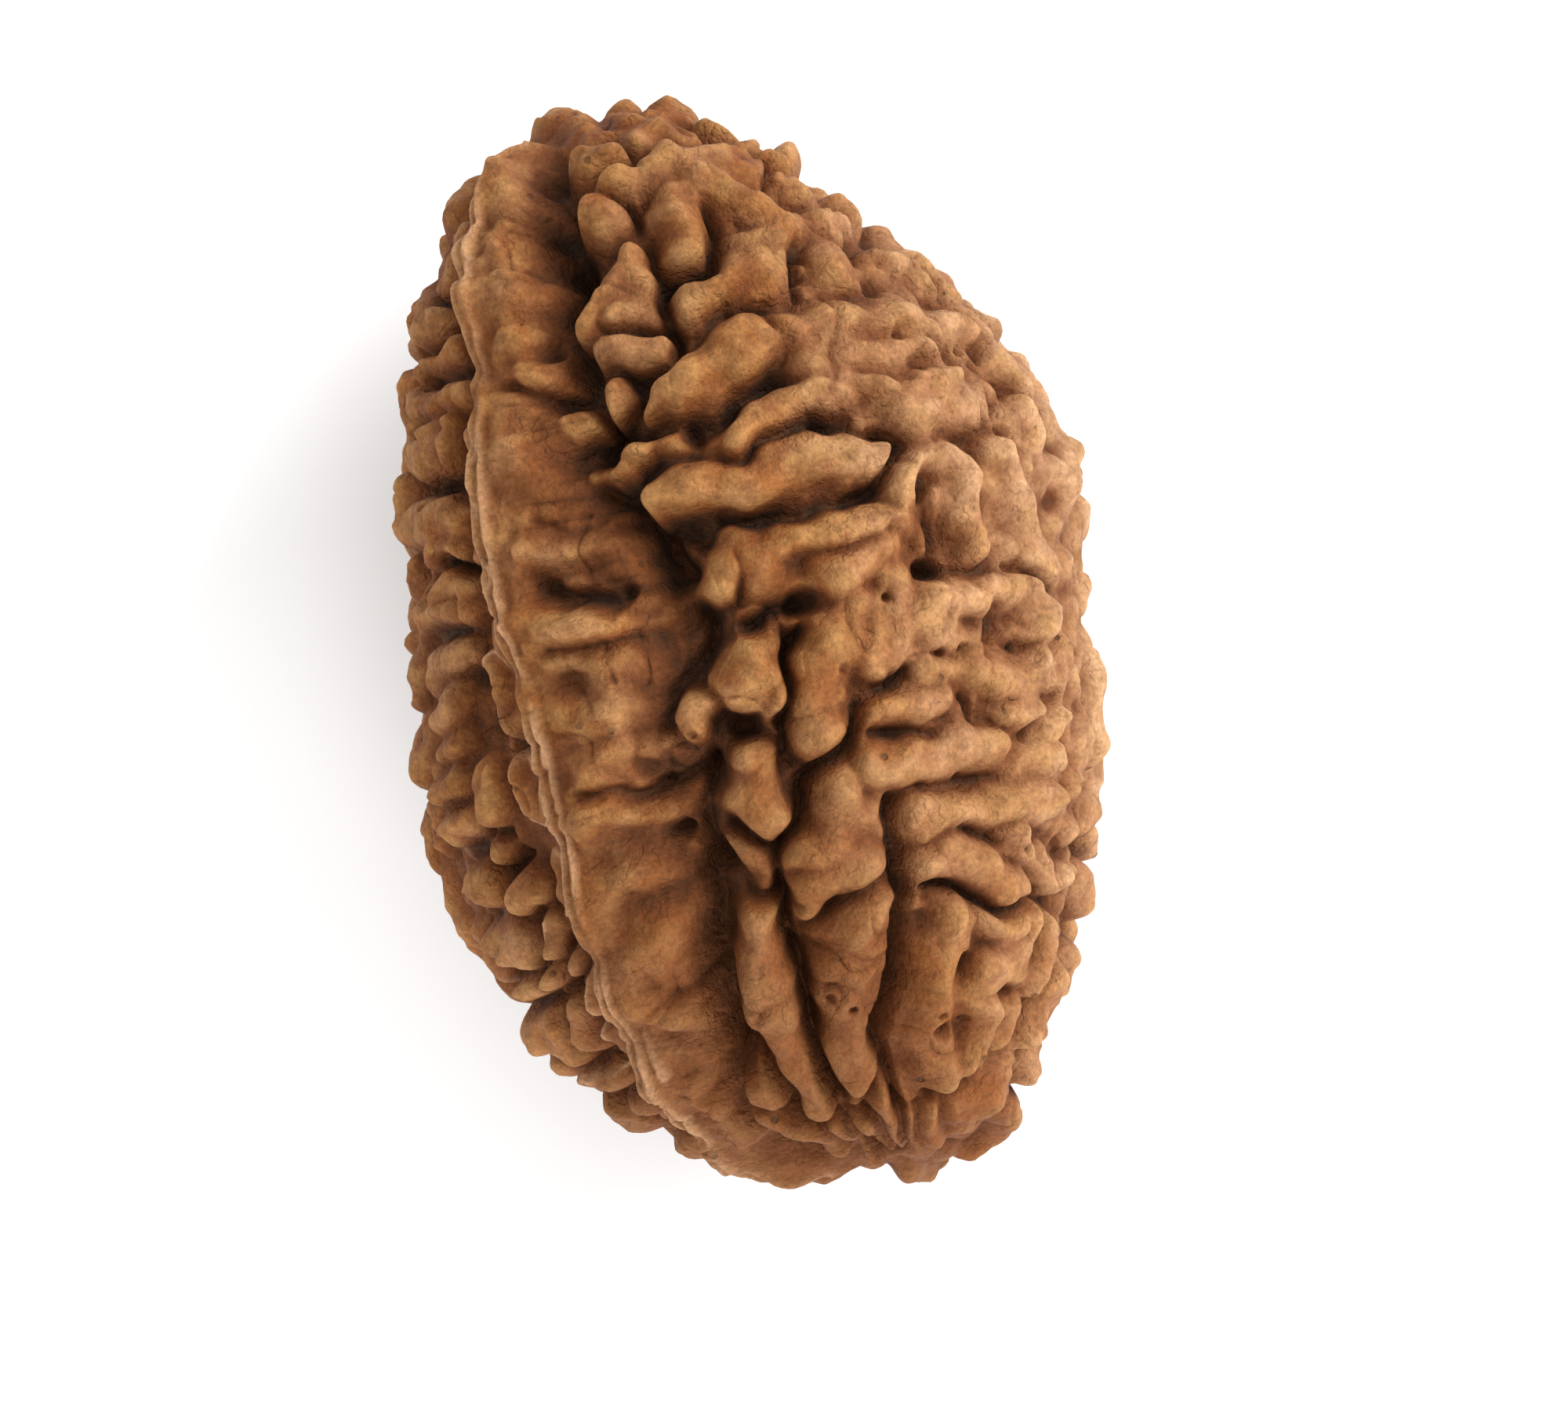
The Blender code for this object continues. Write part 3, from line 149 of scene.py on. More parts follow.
LOWER_RIDGES = (
    (0.05, ((1.5, -5.0, 0.6), (1.6, -5.9, 0.95), (1.1, -6.7, 1.1), (0.2, -6.9, 0.95)),
     ((1.8, -7.2, 0.8), (0.6, -7.6, 0.9), (-0.2, -8.1, 0.6)),
     ((2.0, -8.6, 0.6), (1.4, -9.2, 0.9), (0.7, -9.9, 1.05), (0.45, -10.9, 0.9), (0.3, -11.9, 0.8),
      (0.1, -12.8, 0.65), (-0.2, -13.7, 0.4))),
    (-0.1, ((-1.95, -8.3, 0.6), (-2.05, -9.5, 0.8), (-2.0, -10.8, 0.75), (-2.0, -12.0, 0.65),
            (-1.8, -13.2, 0.55), (-1.5, -14.4, 0.4))),
    (0.05, ((4.3, -9.6, 0.85), (3.7, -10.5, 0.9), (3.1, -11.6, 0.95), (2.7, -12.6, 0.9), (2.6, -13.6, 0.75),
            (3.0, -14.4, 0.4)),
     ((5.3, -9.9, 0.6), (5.9, -10.2, 0.5)), ((6.4, -10.3, 0.4), (5.6, -10.9, 0.45), (4.8, -11.3, 0.45)),
     ((4.6, -12.6, 0.5), (4.0, -13.3, 0.5), (3.5, -14.0, 0.45)), ((5.2, -12.7, 0.5), (4.6, -13.6, 0.4))),
    (0.0, ((7.0, -10.6, 0.45), (6.6, -11.6, 0.4), (6.0, -12.3, 0.4))),
    (0.0, ((6.8, -12.1, 0.35), (6.2, -13.0, 0.4), (5.5, -13.8, 0.35))),
    (-0.7, ((-1.8, -6.3, 0.35), (-1.4, -7.1, 0.35))),
)
TAIL_RIDGES = (
    (0.0, ((3.0, -15.4, 0.5), (3.9, -15.4, 0.8))),
    (0.0, ((2.2, -15.2, 0.3), (2.1, -16.2, 0.28))),
    (-0.2, ((1.55, -15.1, 0.22), (1.45, -16.3, 0.2))),
    (-0.25, ((0.4, -14.2, 0.28), (0.6, -15.3, 0.3), (0.75, -16.4, 0.25))),
    (-0.25, ((-0.3, -14.9, 0.22), (0.0, -15.7, 0.22), (0.4, -16.5, 0.2))),
    (-0.2, ((-1.2, -15.0, 0.22), (-0.6, -15.9, 0.25), (0.0, -16.6, 0.2))),
    (-0.15, ((-3.0, -14.2, 0.35), (-2.0, -15.1, 0.35), (-1.0, -16.0, 0.35))),
    (-0.1, ((-4.8, -12.6, 0.7), (-4.3, -13.6, 0.7), (-3.7, -14.7, 0.6))),
    (-0.2, ((-2.9, -12.9, 0.35), (-2.6, -13.8, 0.35))),
)
LEFT_RIDGES = (
    (-0.05, ((-7.9, 12.6, 0.6), (-7.4, 12.1, 0.6))),
    (-0.3, ((-7.8, 10.8, 0.35), (-7.2, 10.9, 0.45))),
    (-0.05, ((-8.4, 9.5, 0.5), (-7.7, 9.5, 0.55), (-7.1, 9.6, 0.4))),
    (0.0, ((-9.1, 7.9, 0.65), (-8.3, 7.9, 0.75), (-7.8, 8.0, 0.5)),
     ((-8.4, 8.6, 0.4), (-7.6, 8.8, 0.35))),
    (0.0, ((-9.5, 5.9, 0.75), (-8.8, 5.9, 0.85), (-8.2, 5.9, 0.75)), ((-9.2, 5.1, 0.4), (-8.3, 5.0, 0.4))),
    (0.0, ((-9.8, 3.3, 0.6), (-9.2, 3.2, 0.7), (-8.4, 2.9, 0.6)), ((-9.2, 4.1, 0.4), (-8.3, 3.8, 0.5))),
    (0.0, ((-9.9, 1.2, 0.5), (-9.3, 1.3, 0.5), (-8.8, 1.5, 0.3))),
    (0.0, ((-9.8, 0.1, 0.5), (-9.3, 0.1, 0.45))),
    (0.0, ((-10.1, -0.9, 0.45), (-9.5, -0.9, 0.4))),
    (0.0, ((-10.4, -2.2, 0.55), (-9.9, -2.0, 0.4))),
    (0.0, ((-10.4, -3.5, 0.5), (-9.8, -3.4, 0.4))),
    (0.0, ((-9.0, -2.2, 0.35), (-8.9, -3.2, 0.35))),
    (-0.2, ((-9.2, -4.4, 0.4),)),
    (0.0, ((-10.2, -5.3, 0.5), (-9.6, -5.4, 0.5))),
    (0.0, ((-8.8, -5.7, 0.55), (-8.4, -5.8, 0.5))),
    (0.0, ((-9.9, -7.2, 0.55), (-9.1, -7.2, 0.65))),
    (-0.1, ((-8.2, -6.8, 0.3), (-8.4, -7.6, 0.3))),
    (0.0, ((-9.6, -8.8, 0.5), (-9.1, -8.7, 0.5))),
    (0.0, ((-8.4, -8.4, 0.45),)),
    (-0.1, ((-7.7, -8.2, 0.4),)),
    (0.0, ((-9.2, -10.2, 0.5), (-8.6, -10.0, 0.6), (-8.5, -10.8, 0.4))),
    (-0.1, ((-7.8, -9.7, 0.4), (-7.8, -10.6, 0.5))),
    (0.0, ((-8.0, -12.0, 0.5), (-7.3, -12.0, 0.5))),
    (0.0, ((-6.9, -13.2, 0.5), (-6.3, -13.2, 0.45))),
    (0.0, ((-5.8, -14.3, 0.45), (-5.3, -14.3, 0.4))),
)
# Scalloped plates that lean against the steep side of the seam
SCALLOPS = (
    (-0.25, ((-6.7, 8.4, 0.3), (-6.9, 7.5, 0.3))),
    (-0.25, ((-7.2, 5.7, 0.2),)),
    (-0.2, ((-7.35, 3.7, 0.25),)),
    (-0.12, ((-7.9, 1.0, 0.4), (-7.8, 0.2, 0.45), (-7.5, -0.9, 0.3))),
    (-0.12, ((-7.7, -2.3, 0.4), (-7.6, -3.4, 0.4))),
    (-0.12, ((-7.4, -5.2, 0.3), (-7.4, -6.2, 0.25))),
    (-0.2, ((-7.15, -7.5, 0.3),)),
    (-0.2, ((-7.0, -8.9, 0.25), (-7.05, -9.6, 0.2))),
    (-0.25, ((-6.9, -10.6, 0.25), (-6.8, -11.3, 0.2))),
)
SEEN_RIDGES = (CROWN_RIDGES + SHOULDER_RIDGES + MIDDLE_RIDGES + LOWER_RIDGES + TAIL_RIDGES + LEFT_RIDGES
               + SCALLOPS)

# Low swellings across the broad flank of the seam: (height, half-width, ((x, y), ...))
FOLDS = (
    (0.45, 0.9, ((-3.9, 15.6), (-4.4, 13.8), (-4.7, 12.2), (-4.8, 11.2))),
    (0.6, 0.7, ((-4.9, 9.6), (-4.5, 9.3))),
    (0.4, 0.8, ((-5.9, 8.4), (-5.8, 7.5))),
    (0.45, 0.9, ((-5.6, 6.6), (-5.3, 5.9))),
    (0.6, 0.6, ((-6.3, 3.9), (-5.0, 3.6), (-3.4, 3.7))),
    (0.65, 0.5, ((-6.6, 2.1), (-5.4, 1.8), (-4.2, 1.8))),
    (0.6, 0.6, ((-3.2, 1.6), (-2.4, 1.4))),
    (0.3, 0.4, ((-6.3, 0.7), (-5.0, 0.4), (-4.0, 0.5))),
    (0.6, 1.2, ((-3.8, 2.0), (-3.9, 0.2), (-4.0, -1.4))),
    (0.4, 0.5, ((-6.3, -0.8), (-5.0, -0.9), (-4.2, -1.1))),
    (0.5, 0.45, ((-6.3, -2.2), (-5.9, -2.3))),
    (0.5, 0.5, ((-5.1, -2.3), (-4.7, -2.3))),
    (0.35, 0.4, ((-3.6, -2.3), (-3.4, -2.5))),
    (0.65, 0.5, ((-6.4, -4.1), (-5.0, -4.2), (-3.6, -4.3), (-2.9, -4.4))),
    (0.5, 0.5, ((-5.8, -6.2), (-4.8, -6.1))),
    (0.3, 0.5, ((-3.9, -6.6),)),
    (0.5, 0.7, ((-5.6, -7.9), (-4.9, -8.0), (-4.3, -8.5))),
    (0.45, 0.6, ((-5.7, -9.7), (-5.0, -9.9), (-4.4, -10.3))),
    (0.4, 0.5, ((-5.2, -11.4), (-4.5, -12.0))),
)

# Creases: (depth, half-width, ((x, y), ...))
CREASES = (
    (0.9, 0.6, ((-2.3, 15.6), (-2.5, 14.7), (-2.8, 13.9), (-3.0, 13.2))),
    (1.4, 1.0, ((-3.0, 13.2), (-2.9, 12.4), (-3.2, 11.6))),
    (0.8, 0.5, ((-3.3, 11.2), (-3.4, 10.2), (-3.4, 9.2), (-3.7, 8.7), (-4.4, 8.5), (-5.0, 8.7),
                (-5.6, 9.3))),
    (0.8, 0.5, ((-3.1, 8.8), (-3.0, 7.6), (-3.0, 7.1), (-1.6, 7.1), (-1.0, 7.3))),
    (0.9, 0.5, ((-3.1, 5.7), (-2.9, 5.0), (-2.6, 4.2), (-2.0, 3.4), (-1.6, 2.6))),
    (0.7, 0.7, ((-1.7, 3.9), (-1.2, 3.6), (-0.8, 3.2))),
    (0.8, 0.9, ((-3.1, 4.4), (-2.5, 3.5), (-2.0, 2.7))),
    (0.7, 0.8, ((-3.6, 7.1), (-2.9, 6.9))),
    (1.1, 0.6, ((0.3, 0.6), (1.2, 0.6), (2.0, 0.55))),
    (0.7, 0.5, ((-1.3, 1.4), (-1.2, 0.7), (-2.0, 0.0), (-2.8, -0.8), (-3.2, -1.6))),
    (0.9, 0.5, ((-2.3, -3.3), (-2.7, -4.2), (-2.8, -5.4), (-2.7, -6.6))),
    (1.1, 1.0, ((-3.0, -6.8), (-3.4, -8.0), (-3.4, -9.5), (-3.5, -11.0), (-3.3, -12.3))),
    (0.6, 0.4, ((-2.6, -12.5), (-2.3, -13.8), (-1.8, -14.9))),
    (1.0, 0.45, ((1.6, 13.3), (2.0, 12.5), (1.7, 11.8), (1.0, 11.4), (0.2, 11.3), (-0.1, 10.8),
                 (-0.35, 10.2), (-0.4, 9.3))),
    (0.4, 0.2, ((-2.4, 10.5), (-1.6, 10.1), (-0.7, 10.05))),
    (0.7, 0.18, ((3.95, 10.1), (4.05, 11.1), (4.3, 11.6))),
    (1.0, 0.45, ((-0.4, 6.7), (0.6, 6.8), (1.3, 7.3), (2.1, 7.7), (2.7, 7.8))),
    (0.6, 0.35, ((3.6, 6.15), (4.4, 6.0), (5.2, 5.3), (6.0, 4.7))),
    (0.35, 0.16, ((6.9, 7.0), (7.4, 6.85), (8.2, 7.15), (8.8, 6.7), (9.1, 6.3))),
    (0.3, 0.15, ((8.6, 5.6), (8.7, 4.9))),
    (0.5, 0.16, ((7.3, 4.5), (8.2, 4.55))),
    (0.4, 0.18, ((7.5, 7.6), (7.9, 7.1))),
    (0.7, 0.35, ((-0.2, 3.75), (0.5, 3.75), (1.5, 3.5), (2.5, 3.4), (3.6, 3.4), (4.7, 3.75), (5.7, 4.25))),
    (0.3, 0.15, ((-0.15, 2.7), (-0.05, 2.0), (-0.05, 1.4))),
    (0.35, 0.15, ((2.0, 2.1), (3.0, 2.15), (4.2, 2.4))),
    (0.6, 0.45, ((6.4, 3.3), (6.45, 2.4), (6.4, 1.6), (6.2, 1.1))),
    (0.4, 0.25, ((6.2, 0.9), (7.0, 0.85), (7.8, 0.6))),
    (0.3, 0.2, ((8.1, 4.2), (8.1, 3.0), (7.95, 1.9), (7.9, 1.1))),
    (0.6, 0.2, ((8.2, 0.4), (8.7, 0.15), (9.1, -0.1), (9.4, -0.5))),
    (0.3, 0.15, ((9.4, -0.5), (9.45, -1.1), (9.2, -1.8))),
    (0.6, 0.28, ((1.5, -0.2), (1.1, -0.9), (0.7, -1.8), (0.25, -2.5), (0.35, -3.2), (0.7, -3.9))),
    (1.0, 0.36, ((4.5, -1.75), (3.6, -2.1), (2.9, -2.55), (2.4, -3.3), (2.0, -3.9), (1.2, -4.25),
                 (0.7, -4.5), (0.35, -5.3), (-0.3, -5.9), (-0.9, -6.2))),
    (0.3, 0.13, ((7.9, -1.9), (8.3, -2.1), (8.9, -2.1))),
    (0.6, 0.18, ((6.05, -3.15), (6.1, -3.9))),
    (0.6, 0.2, ((3.0, -3.7), (4.0, -4.0), (4.9, -4.05))),
    (0.3, 0.16, ((4.9, -4.05), (6.1, -3.95), (7.0, -4.1))),
    (0.5, 0.17, ((7.8, -3.95), (7.4, -4.25), (7.3, -4.75))),
    (0.5, 0.17, ((5.25, -5.15), (5.7, -5.35), (6.4, -5.5))),
    (0.55, 0.2, ((3.1, -5.8), (4.2, -5.65))),
    (0.25, 0.14, ((7.7, -5.9), (8.4, -6.2))),
    (0.35, 0.22, ((5.0, -6.9), (6.0, -7.45), (6.4, -7.7), (6.9, -8.0))),
    (0.4, 0.16, ((8.75, -4.9), (8.85, -5.6))),
    (0.5, 0.22, ((3.6, -8.4), (4.5, -8.7), (5.2, -9.2), (6.0, -9.7), (6.6, -10.0))),
    (0.55, 0.2, ((2.9, -7.5), (1.9, -7.9), (1.2, -8.4), (0.3, -8.8), (-0.7, -9.1))),
    (0.3, 0.13, ((2.1, -6.95), (2.8, -6.75))),
    (0.4, 0.2, ((3.9, -13.6), (3.5, -14.3), (2.9, -15.0))),
    (1.1, 0.42, ((3.05, -5.9), (3.1, -7.2), (3.05, -8.4), (2.75, -9.4), (2.4, -10.4), (1.8, -11.5),
                 (1.35, -12.4), (1.0, -13.3), (0.95, -14.1), (1.2, -14.8))),
    (1.0, 0.4, ((-1.1, -7.6), (-1.0, -8.6), (-0.9, -9.8), (-0.95, -11.0), (-1.05, -12.1), (-1.05, -13.3),
                (-0.8, -14.2))),
    (0.7, 0.45, ((-6.2, 2.9), (-5.6, 2.65), (-4.5, 2.4), (-4.0, 2.5))),
    (0.4, 0.3, ((-4.0, 2.5), (-3.0, 2.5), (-2.2, 2.6))),
    (0.7, 0.4, ((-6.0, -3.3), (-4.7, -3.55), (-4.0, -3.55))),
    (0.7, 0.3, ((-4.0, -3.5), (-2.4, -3.3))),
    (0.35, 0.16, ((-5.9, 5.0), (-4.9, 4.6), (-3.9, 4.9))),
    (0.5, 0.35, ((-4.0, -5.2), (-3.3, -5.2))),
    (0.7, 0.22, ((-9.6, 7.1), (-8.6, 6.85), (-7.6, 6.6))),
    (0.7, 0.22, ((-9.0, 4.65), (-8.2, 4.45), (-7.5, 4.25))),
)

# Pits: (depth, radius, x, y)
PITS = (
    (1.2, 0.5, 5.85, 0.95), (0.9, 0.42, 6.3, 0.95), (0.55, 0.26, 6.4, 8.35), (0.5, 0.26, 6.65, 8.45),
    (0.7, 0.55, 7.65, -1.35), (0.3, 0.4, 7.7, -0.8), (0.25, 0.4, 6.5, -3.1), (0.8, 0.42, 4.3, -11.1),
    (0.7, 0.44, 3.0, -12.75), (0.5, 0.5, 5.2, -12.0), (0.5, 0.35, 9.9, 2.3), (0.5, 0.35, 6.3, 9.95),
    (0.4, 0.25, 6.7, 10.15), (0.5, 0.45, -4.3, 10.2), (0.8, 0.75, -3.7, 5.6), (0.5, 0.45, -4.3, -2.8),
    (0.9, 0.65, -0.9, -2.5), (0.5, 0.5, -3.6, -5.2), (0.3, 0.3, -3.9, -11.4), (0.3, 0.3, -4.0, -12.4),
    (0.35, 0.22, -2.45, -2.3), (0.35, 0.25, 6.95, -8.05), (0.4, 0.25, 7.6, -8.35), (0.4, 0.25, 7.5, -9.3),
    (0.6, 0.5, 1.5, 0.55), (0.6, 0.5, -8.5, -0.9),
    (0.3, 0.2, 5.45, -7.0), (0.3, 0.2, 5.6, -1.6), (0.25, 0.18, 4.3, 0.35),
)

# The ridges of the rest of the surface, which no point above describes, come from seeded draws. They
# fill all angles past SEEN_ANGLES, and the corner of the upper side between these x and y.
SEED = 20
FILL_SPACING = 1.95
FILL_TRIES = 9000
FILL_CLEAR = 0.7
SEEN_ANGLES = (math.radians(-72.0), math.radians(76.0))
FILLED_CORNER = ((-12.0, -5.6), (13.3, 18.0))
FILL_WIDTH = (0.65, 1.0)
FILL_STEPS = (1, 5)
FILL_STEP_LENGTH = 1.1
FILL_CREST = (-0.25, 0.08)
RIB_SPACING = 1.9
RIB_HEIGHT = (0.35, 0.75)
SLIT_DEPTH = (0.3, 0.9)

# The resting spot has three broad ridges of its own: (crest, ((x, y, half-width), ...))
REST_RIDGES = (
    (0.05, ((-0.6, -1.6, 1.0), (0.3, 0.0, 1.3), (0.2, 1.6, 1.0))),
    (0.05, ((-2.5, 2.6, 0.9), (-2.3, 0.9, 0.9), (-2.7, -0.8, 0.8))),
    (0.05, ((2.4, -2.6, 0.9), (2.6, -0.9, 0.9), (2.5, 0.9, 0.9))),
    (0.05, ((-0.8, 3.7, 0.9), (1.0, 3.9, 0.9))),
    (0.05, ((-1.2, -3.9, 0.9), (0.7, -4.0, 0.9))),
)

# How a ridge falls away from its crest, how ridges melt into each other, and the uneven surface
WIDER = 0.18
EDGE_DROP = 1.15
SKIRT_SLOPE = 2.6
MELT = 0.12
CLEFT_REACH = 0.3
CLEFT_DEPTH = (0.15, 0.9)
BRANCH_CLEFT = 0.3
CLEFT_FADE = (-0.85, -0.3)
WANDER = ((1.9, 0.35), (0.8, 0.22))
BILLOW = (1.5, 0.55)
UNEVEN = ((1.7, 0.3), (0.8, 0.15), (0.4, 0.04))


def spine(y):
    """How far the bead's middle lies to the side at y."""
    stations = np.array(SPINE)
    even = np.linspace(-HALF_LENGTH, HALF_LENGTH, 61)
    offsets = np.interp(even, stations[:, 0], stations[:, 1])
    soft = np.convolve(np.pad(offsets, 2, "edge"), np.ones(5) / 5, "valid")
    return np.interp(y, even, soft)


def fullness(along):
    """How wide the envelope is against an ellipsoid at a share of its half length."""
    stations, factors = np.array(FULLNESS).T
    return np.interp(along, stations, factors)


def on_envelope(directions):
    """The points of the envelope in these directions of a unit sphere."""
    points = directions * (HALF_WIDTH, HALF_LENGTH, HALF_HEIGHT)
    points[:, [0, 2]] *= fullness(directions[:, 1])[:, None]
    points[:, 0] += spine(points[:, 1])
    return points


def outward_from(directions):
    """The unit vectors that point straight out of the envelope in these directions."""
    outward = directions / (HALF_WIDTH, HALF_LENGTH, HALF_HEIGHT)
    return outward / np.linalg.norm(outward, axis=1)[:, None]


def seen_direction(x, y, side=1.0):
    """The direction of the unit sphere whose envelope point is seen at x, y from above, or from below."""
    along = np.clip(y / HALF_LENGTH, -0.995, 0.995)
    round_it = math.sqrt(1 - along * along)
    sideways = (x - spine(y)) / (HALF_WIDTH * fullness(along) * round_it)
    across = np.clip(sideways, -0.99, 0.99) * round_it
    return np.array((across, along, side * math.sqrt(max(1 - across**2 - along**2, 0.0))))


def placed(points, side=1.0):
    """Envelope points for places seen from above or, with side -1, from below."""
    return on_envelope(np.array([seen_direction(p[0], p[1], side) for p in points]))


def noise(points, size, seed):
    """Smooth noise from -1 to 1, with bumps of about this size."""
    cells = 32
    table = np.random.default_rng(seed).uniform(-1, 1, (cells, cells, cells))
    scaled = points / size
    low = np.floor(scaled).astype(int)
    share = scaled - low
    share = share * share * (3 - 2 * share)
    total = np.zeros(len(points))
    for corner in np.ndindex(2, 2, 2):
        weight = np.prod(np.where(corner, share, 1 - share), axis=1)
        x, y, z = ((low + corner) % cells).T
        total += weight * table[x, y, z]
    return total


def along_path(points, path):
    """For each point, its distance from a path and the share of the way along it, by segment."""
    best = np.full(len(points), 1e9)
    place = np.zeros(len(points))
    if len(path) == 1:
        return np.linalg.norm(points - path[0], axis=1), place
    for i, (a, b) in enumerate(zip(path[:-1], path[1:])):
        run = b - a
        t = np.clip((points - a) @ run / (run @ run), 0, 1)
        distance = np.linalg.norm(points - a - t[:, None] * run, axis=1)
        nearer = distance < best
        best = np.where(nearer, distance, best)
        place = np.where(nearer, i + t, place)
    return best, place


def near(points, path, reach):
    """The indices of the points within reach of a path's bounding sphere."""
    middle = (path.min(0) + path.max(0)) / 2
    radius = np.linalg.norm(path - middle, axis=1).max() + reach
    return np.flatnonzero(((points - middle) ** 2).sum(1) < radius * radius)


def ridge_height(distance, half_width, crest):
    """The height of a rounded ridge's surface at a distance from its middle line."""
    share = np.clip(distance / half_width, 0, 1)
    drop = EDGE_DROP * half_width * (0.3 * share**2 + 0.7 * (1 - np.sqrt(1 - share**2)))
    skirt = SKIRT_SLOPE * np.maximum(distance - half_width, 0)
    return crest - drop - skirt


def clefts(first, second, same, points):
    """How far a cleft cuts in where two ridges meet.

    It goes by the distances past the edges of the nearest two ridges, and is shallower between two
    branches of the same ridge.
    """
    size = 2.4
    low, high = CLEFT_DEPTH
    depth = low + (high - low) * np.clip(0.5 + 1.1 * noise(points, size, SEED + 7), 0, 1)
    depth = np.where(same, BRANCH_CLEFT * depth, depth)
    apart = np.clip(1 - (second - first) / (2 * CLEFT_REACH), 0, 1)
    fade = np.clip((first - CLEFT_FADE[0]) / (CLEFT_FADE[1] - CLEFT_FADE[0]), 0, 1)
    edge = np.clip(1.4 - 4 * first, 0, 1)
    return depth * apart**1.4 * fade * fade * (3 - 2 * fade) * edge


def seam_angle(y, far):
    """The angle round the bead, from straight up towards +X, of a seam at y."""
    ys = np.array([p[1] for p in SEAM])[::-1]
    angles = []
    for x, station in SEAM:
        across, _, up = seen_direction(x, station)
        angles.append(math.atan2(across, up))
    angle = np.interp(y, ys, np.array(angles)[::-1])
    if far:
        angle = SEAM_ANGLE + SEAM_TURN + SEAM_SWAY * np.sin(y / 5.0)
    return angle


def turned(angle):
    """The angle brought into the half turn on either side of zero."""
    return (angle + np.pi) % (2 * np.pi) - np.pi


def from_seam(directions, points, far):
    """Each point's angle from a seam, in degrees, positive on the seam's broad flank."""
    round_it = np.arctan2(directions[:, 0], directions[:, 2])
    away = turned(round_it - seam_angle(points[:, 1], far))
    return np.degrees(-away if far else away)


def seam_path(far):
    """Envelope points along a seam."""
    ys = np.linspace(-0.96 * HALF_LENGTH, 0.96 * HALF_LENGTH, 60)
    angle = seam_angle(ys, far)
    along = ys / HALF_LENGTH
    round_it = np.sqrt(1 - along * along)
    directions = np.stack((np.sin(angle) * round_it, along, np.cos(angle) * round_it), axis=1)
    return on_envelope(directions)


def fill_ridges(taken):
    """Ridges by seeded draws wherever the given ones leave the surface bare."""
    rng = np.random.default_rng(SEED)
    directions = rng.normal(size=(FILL_TRIES, 3))
    directions /= np.linalg.norm(directions, axis=1)[:, None]
    points = on_envelope(directions)
    angles = np.arctan2(directions[:, 0], directions[:, 2])
    (left, right), (low, high) = FILLED_CORNER
    corner = (points[:, 0] > left) & (points[:, 0] < right) & (points[:, 1] > low) & (points[:, 1] < high)
    bare = (angles < SEEN_ANGLES[0]) | (angles > SEEN_ANGLES[1]) | corner
    for far in (False, True):
        away = from_seam(directions, points, far)
        bare &= (away < BARE_FLANK[0]) | (away > BARE_FLANK[1])
    for path, widths in [branch for _, branches in taken for branch in branches]:
        nearby = near(points, path, FILL_CLEAR + max(widths))
        distance, _ = along_path(points[nearby], path)
        bare[nearby] &= distance > FILL_CLEAR + np.mean(widths)
    ridges, starts = [], []
    for start, direction in zip(points[bare], directions[bare]):
        if any(np.linalg.norm(start - other) < FILL_SPACING for other in starts):
            continue
        half_width = rng.uniform(*FILL_WIDTH)
        heading = np.cross(direction, rng.normal(size=3))
        path = [start]
        for _ in range(rng.integers(*FILL_STEPS)):
            heading += 0.8 * rng.normal(size=3)
            unit = direction + FILL_STEP_LENGTH * heading / (np.linalg.norm(heading) * HALF_LENGTH * 0.75)
            direction = unit / np.linalg.norm(unit)
            path.append(on_envelope(direction[None])[0])
        starts += path
        widths = [half_width * rng.uniform(0.8, 1.15) for _ in path]
        ridges.append((rng.uniform(*FILL_CREST), [(np.array(path), widths)]))
    return ridges


def far_ribs():
    """Folds and slits across both flanks of the far seam, each as (height or depth, half-width, path)."""
    rng = np.random.default_rng(SEED + 1)
    ribs, slits = [], []
    for y in np.arange(-14.0, 14.1, RIB_SPACING):
        y += rng.uniform(-0.4, 0.4)
        for first, last in ((3, 22), (-3, -9)):
            for station, kept, sizes, widths in ((y, ribs, RIB_HEIGHT, (0.45, 0.7)),
                                                 (y + RIB_SPACING / 2, slits, SLIT_DEPTH, (0.2, 0.35))):
                degrees = np.linspace(first + rng.uniform(0, 2), last + rng.uniform(-4, 4), 4)
                angle = seam_angle(np.full(4, station), True) - np.radians(degrees)
                along = station / HALF_LENGTH + np.cumsum(rng.uniform(-0.02, 0.02, 4))
                round_it = np.sqrt(1 - along * along)
                directions = np.stack((np.sin(angle) * round_it, along, np.cos(angle) * round_it), axis=1)
                kept.append((rng.uniform(*sizes), rng.uniform(*widths), on_envelope(directions)))
    return ribs, slits


def all_ridges():
    """Every ridge as (crest, ((path, half-widths), ...))."""
    ridges = []
    for side, group in ((1.0, SEEN_RIDGES), (-1.0, REST_RIDGES)):
        for crest, *branches in group:
            ridges.append((crest, [(placed(b, side), [p[2] for p in b]) for b in branches]))
    return ridges + fill_ridges(ridges)


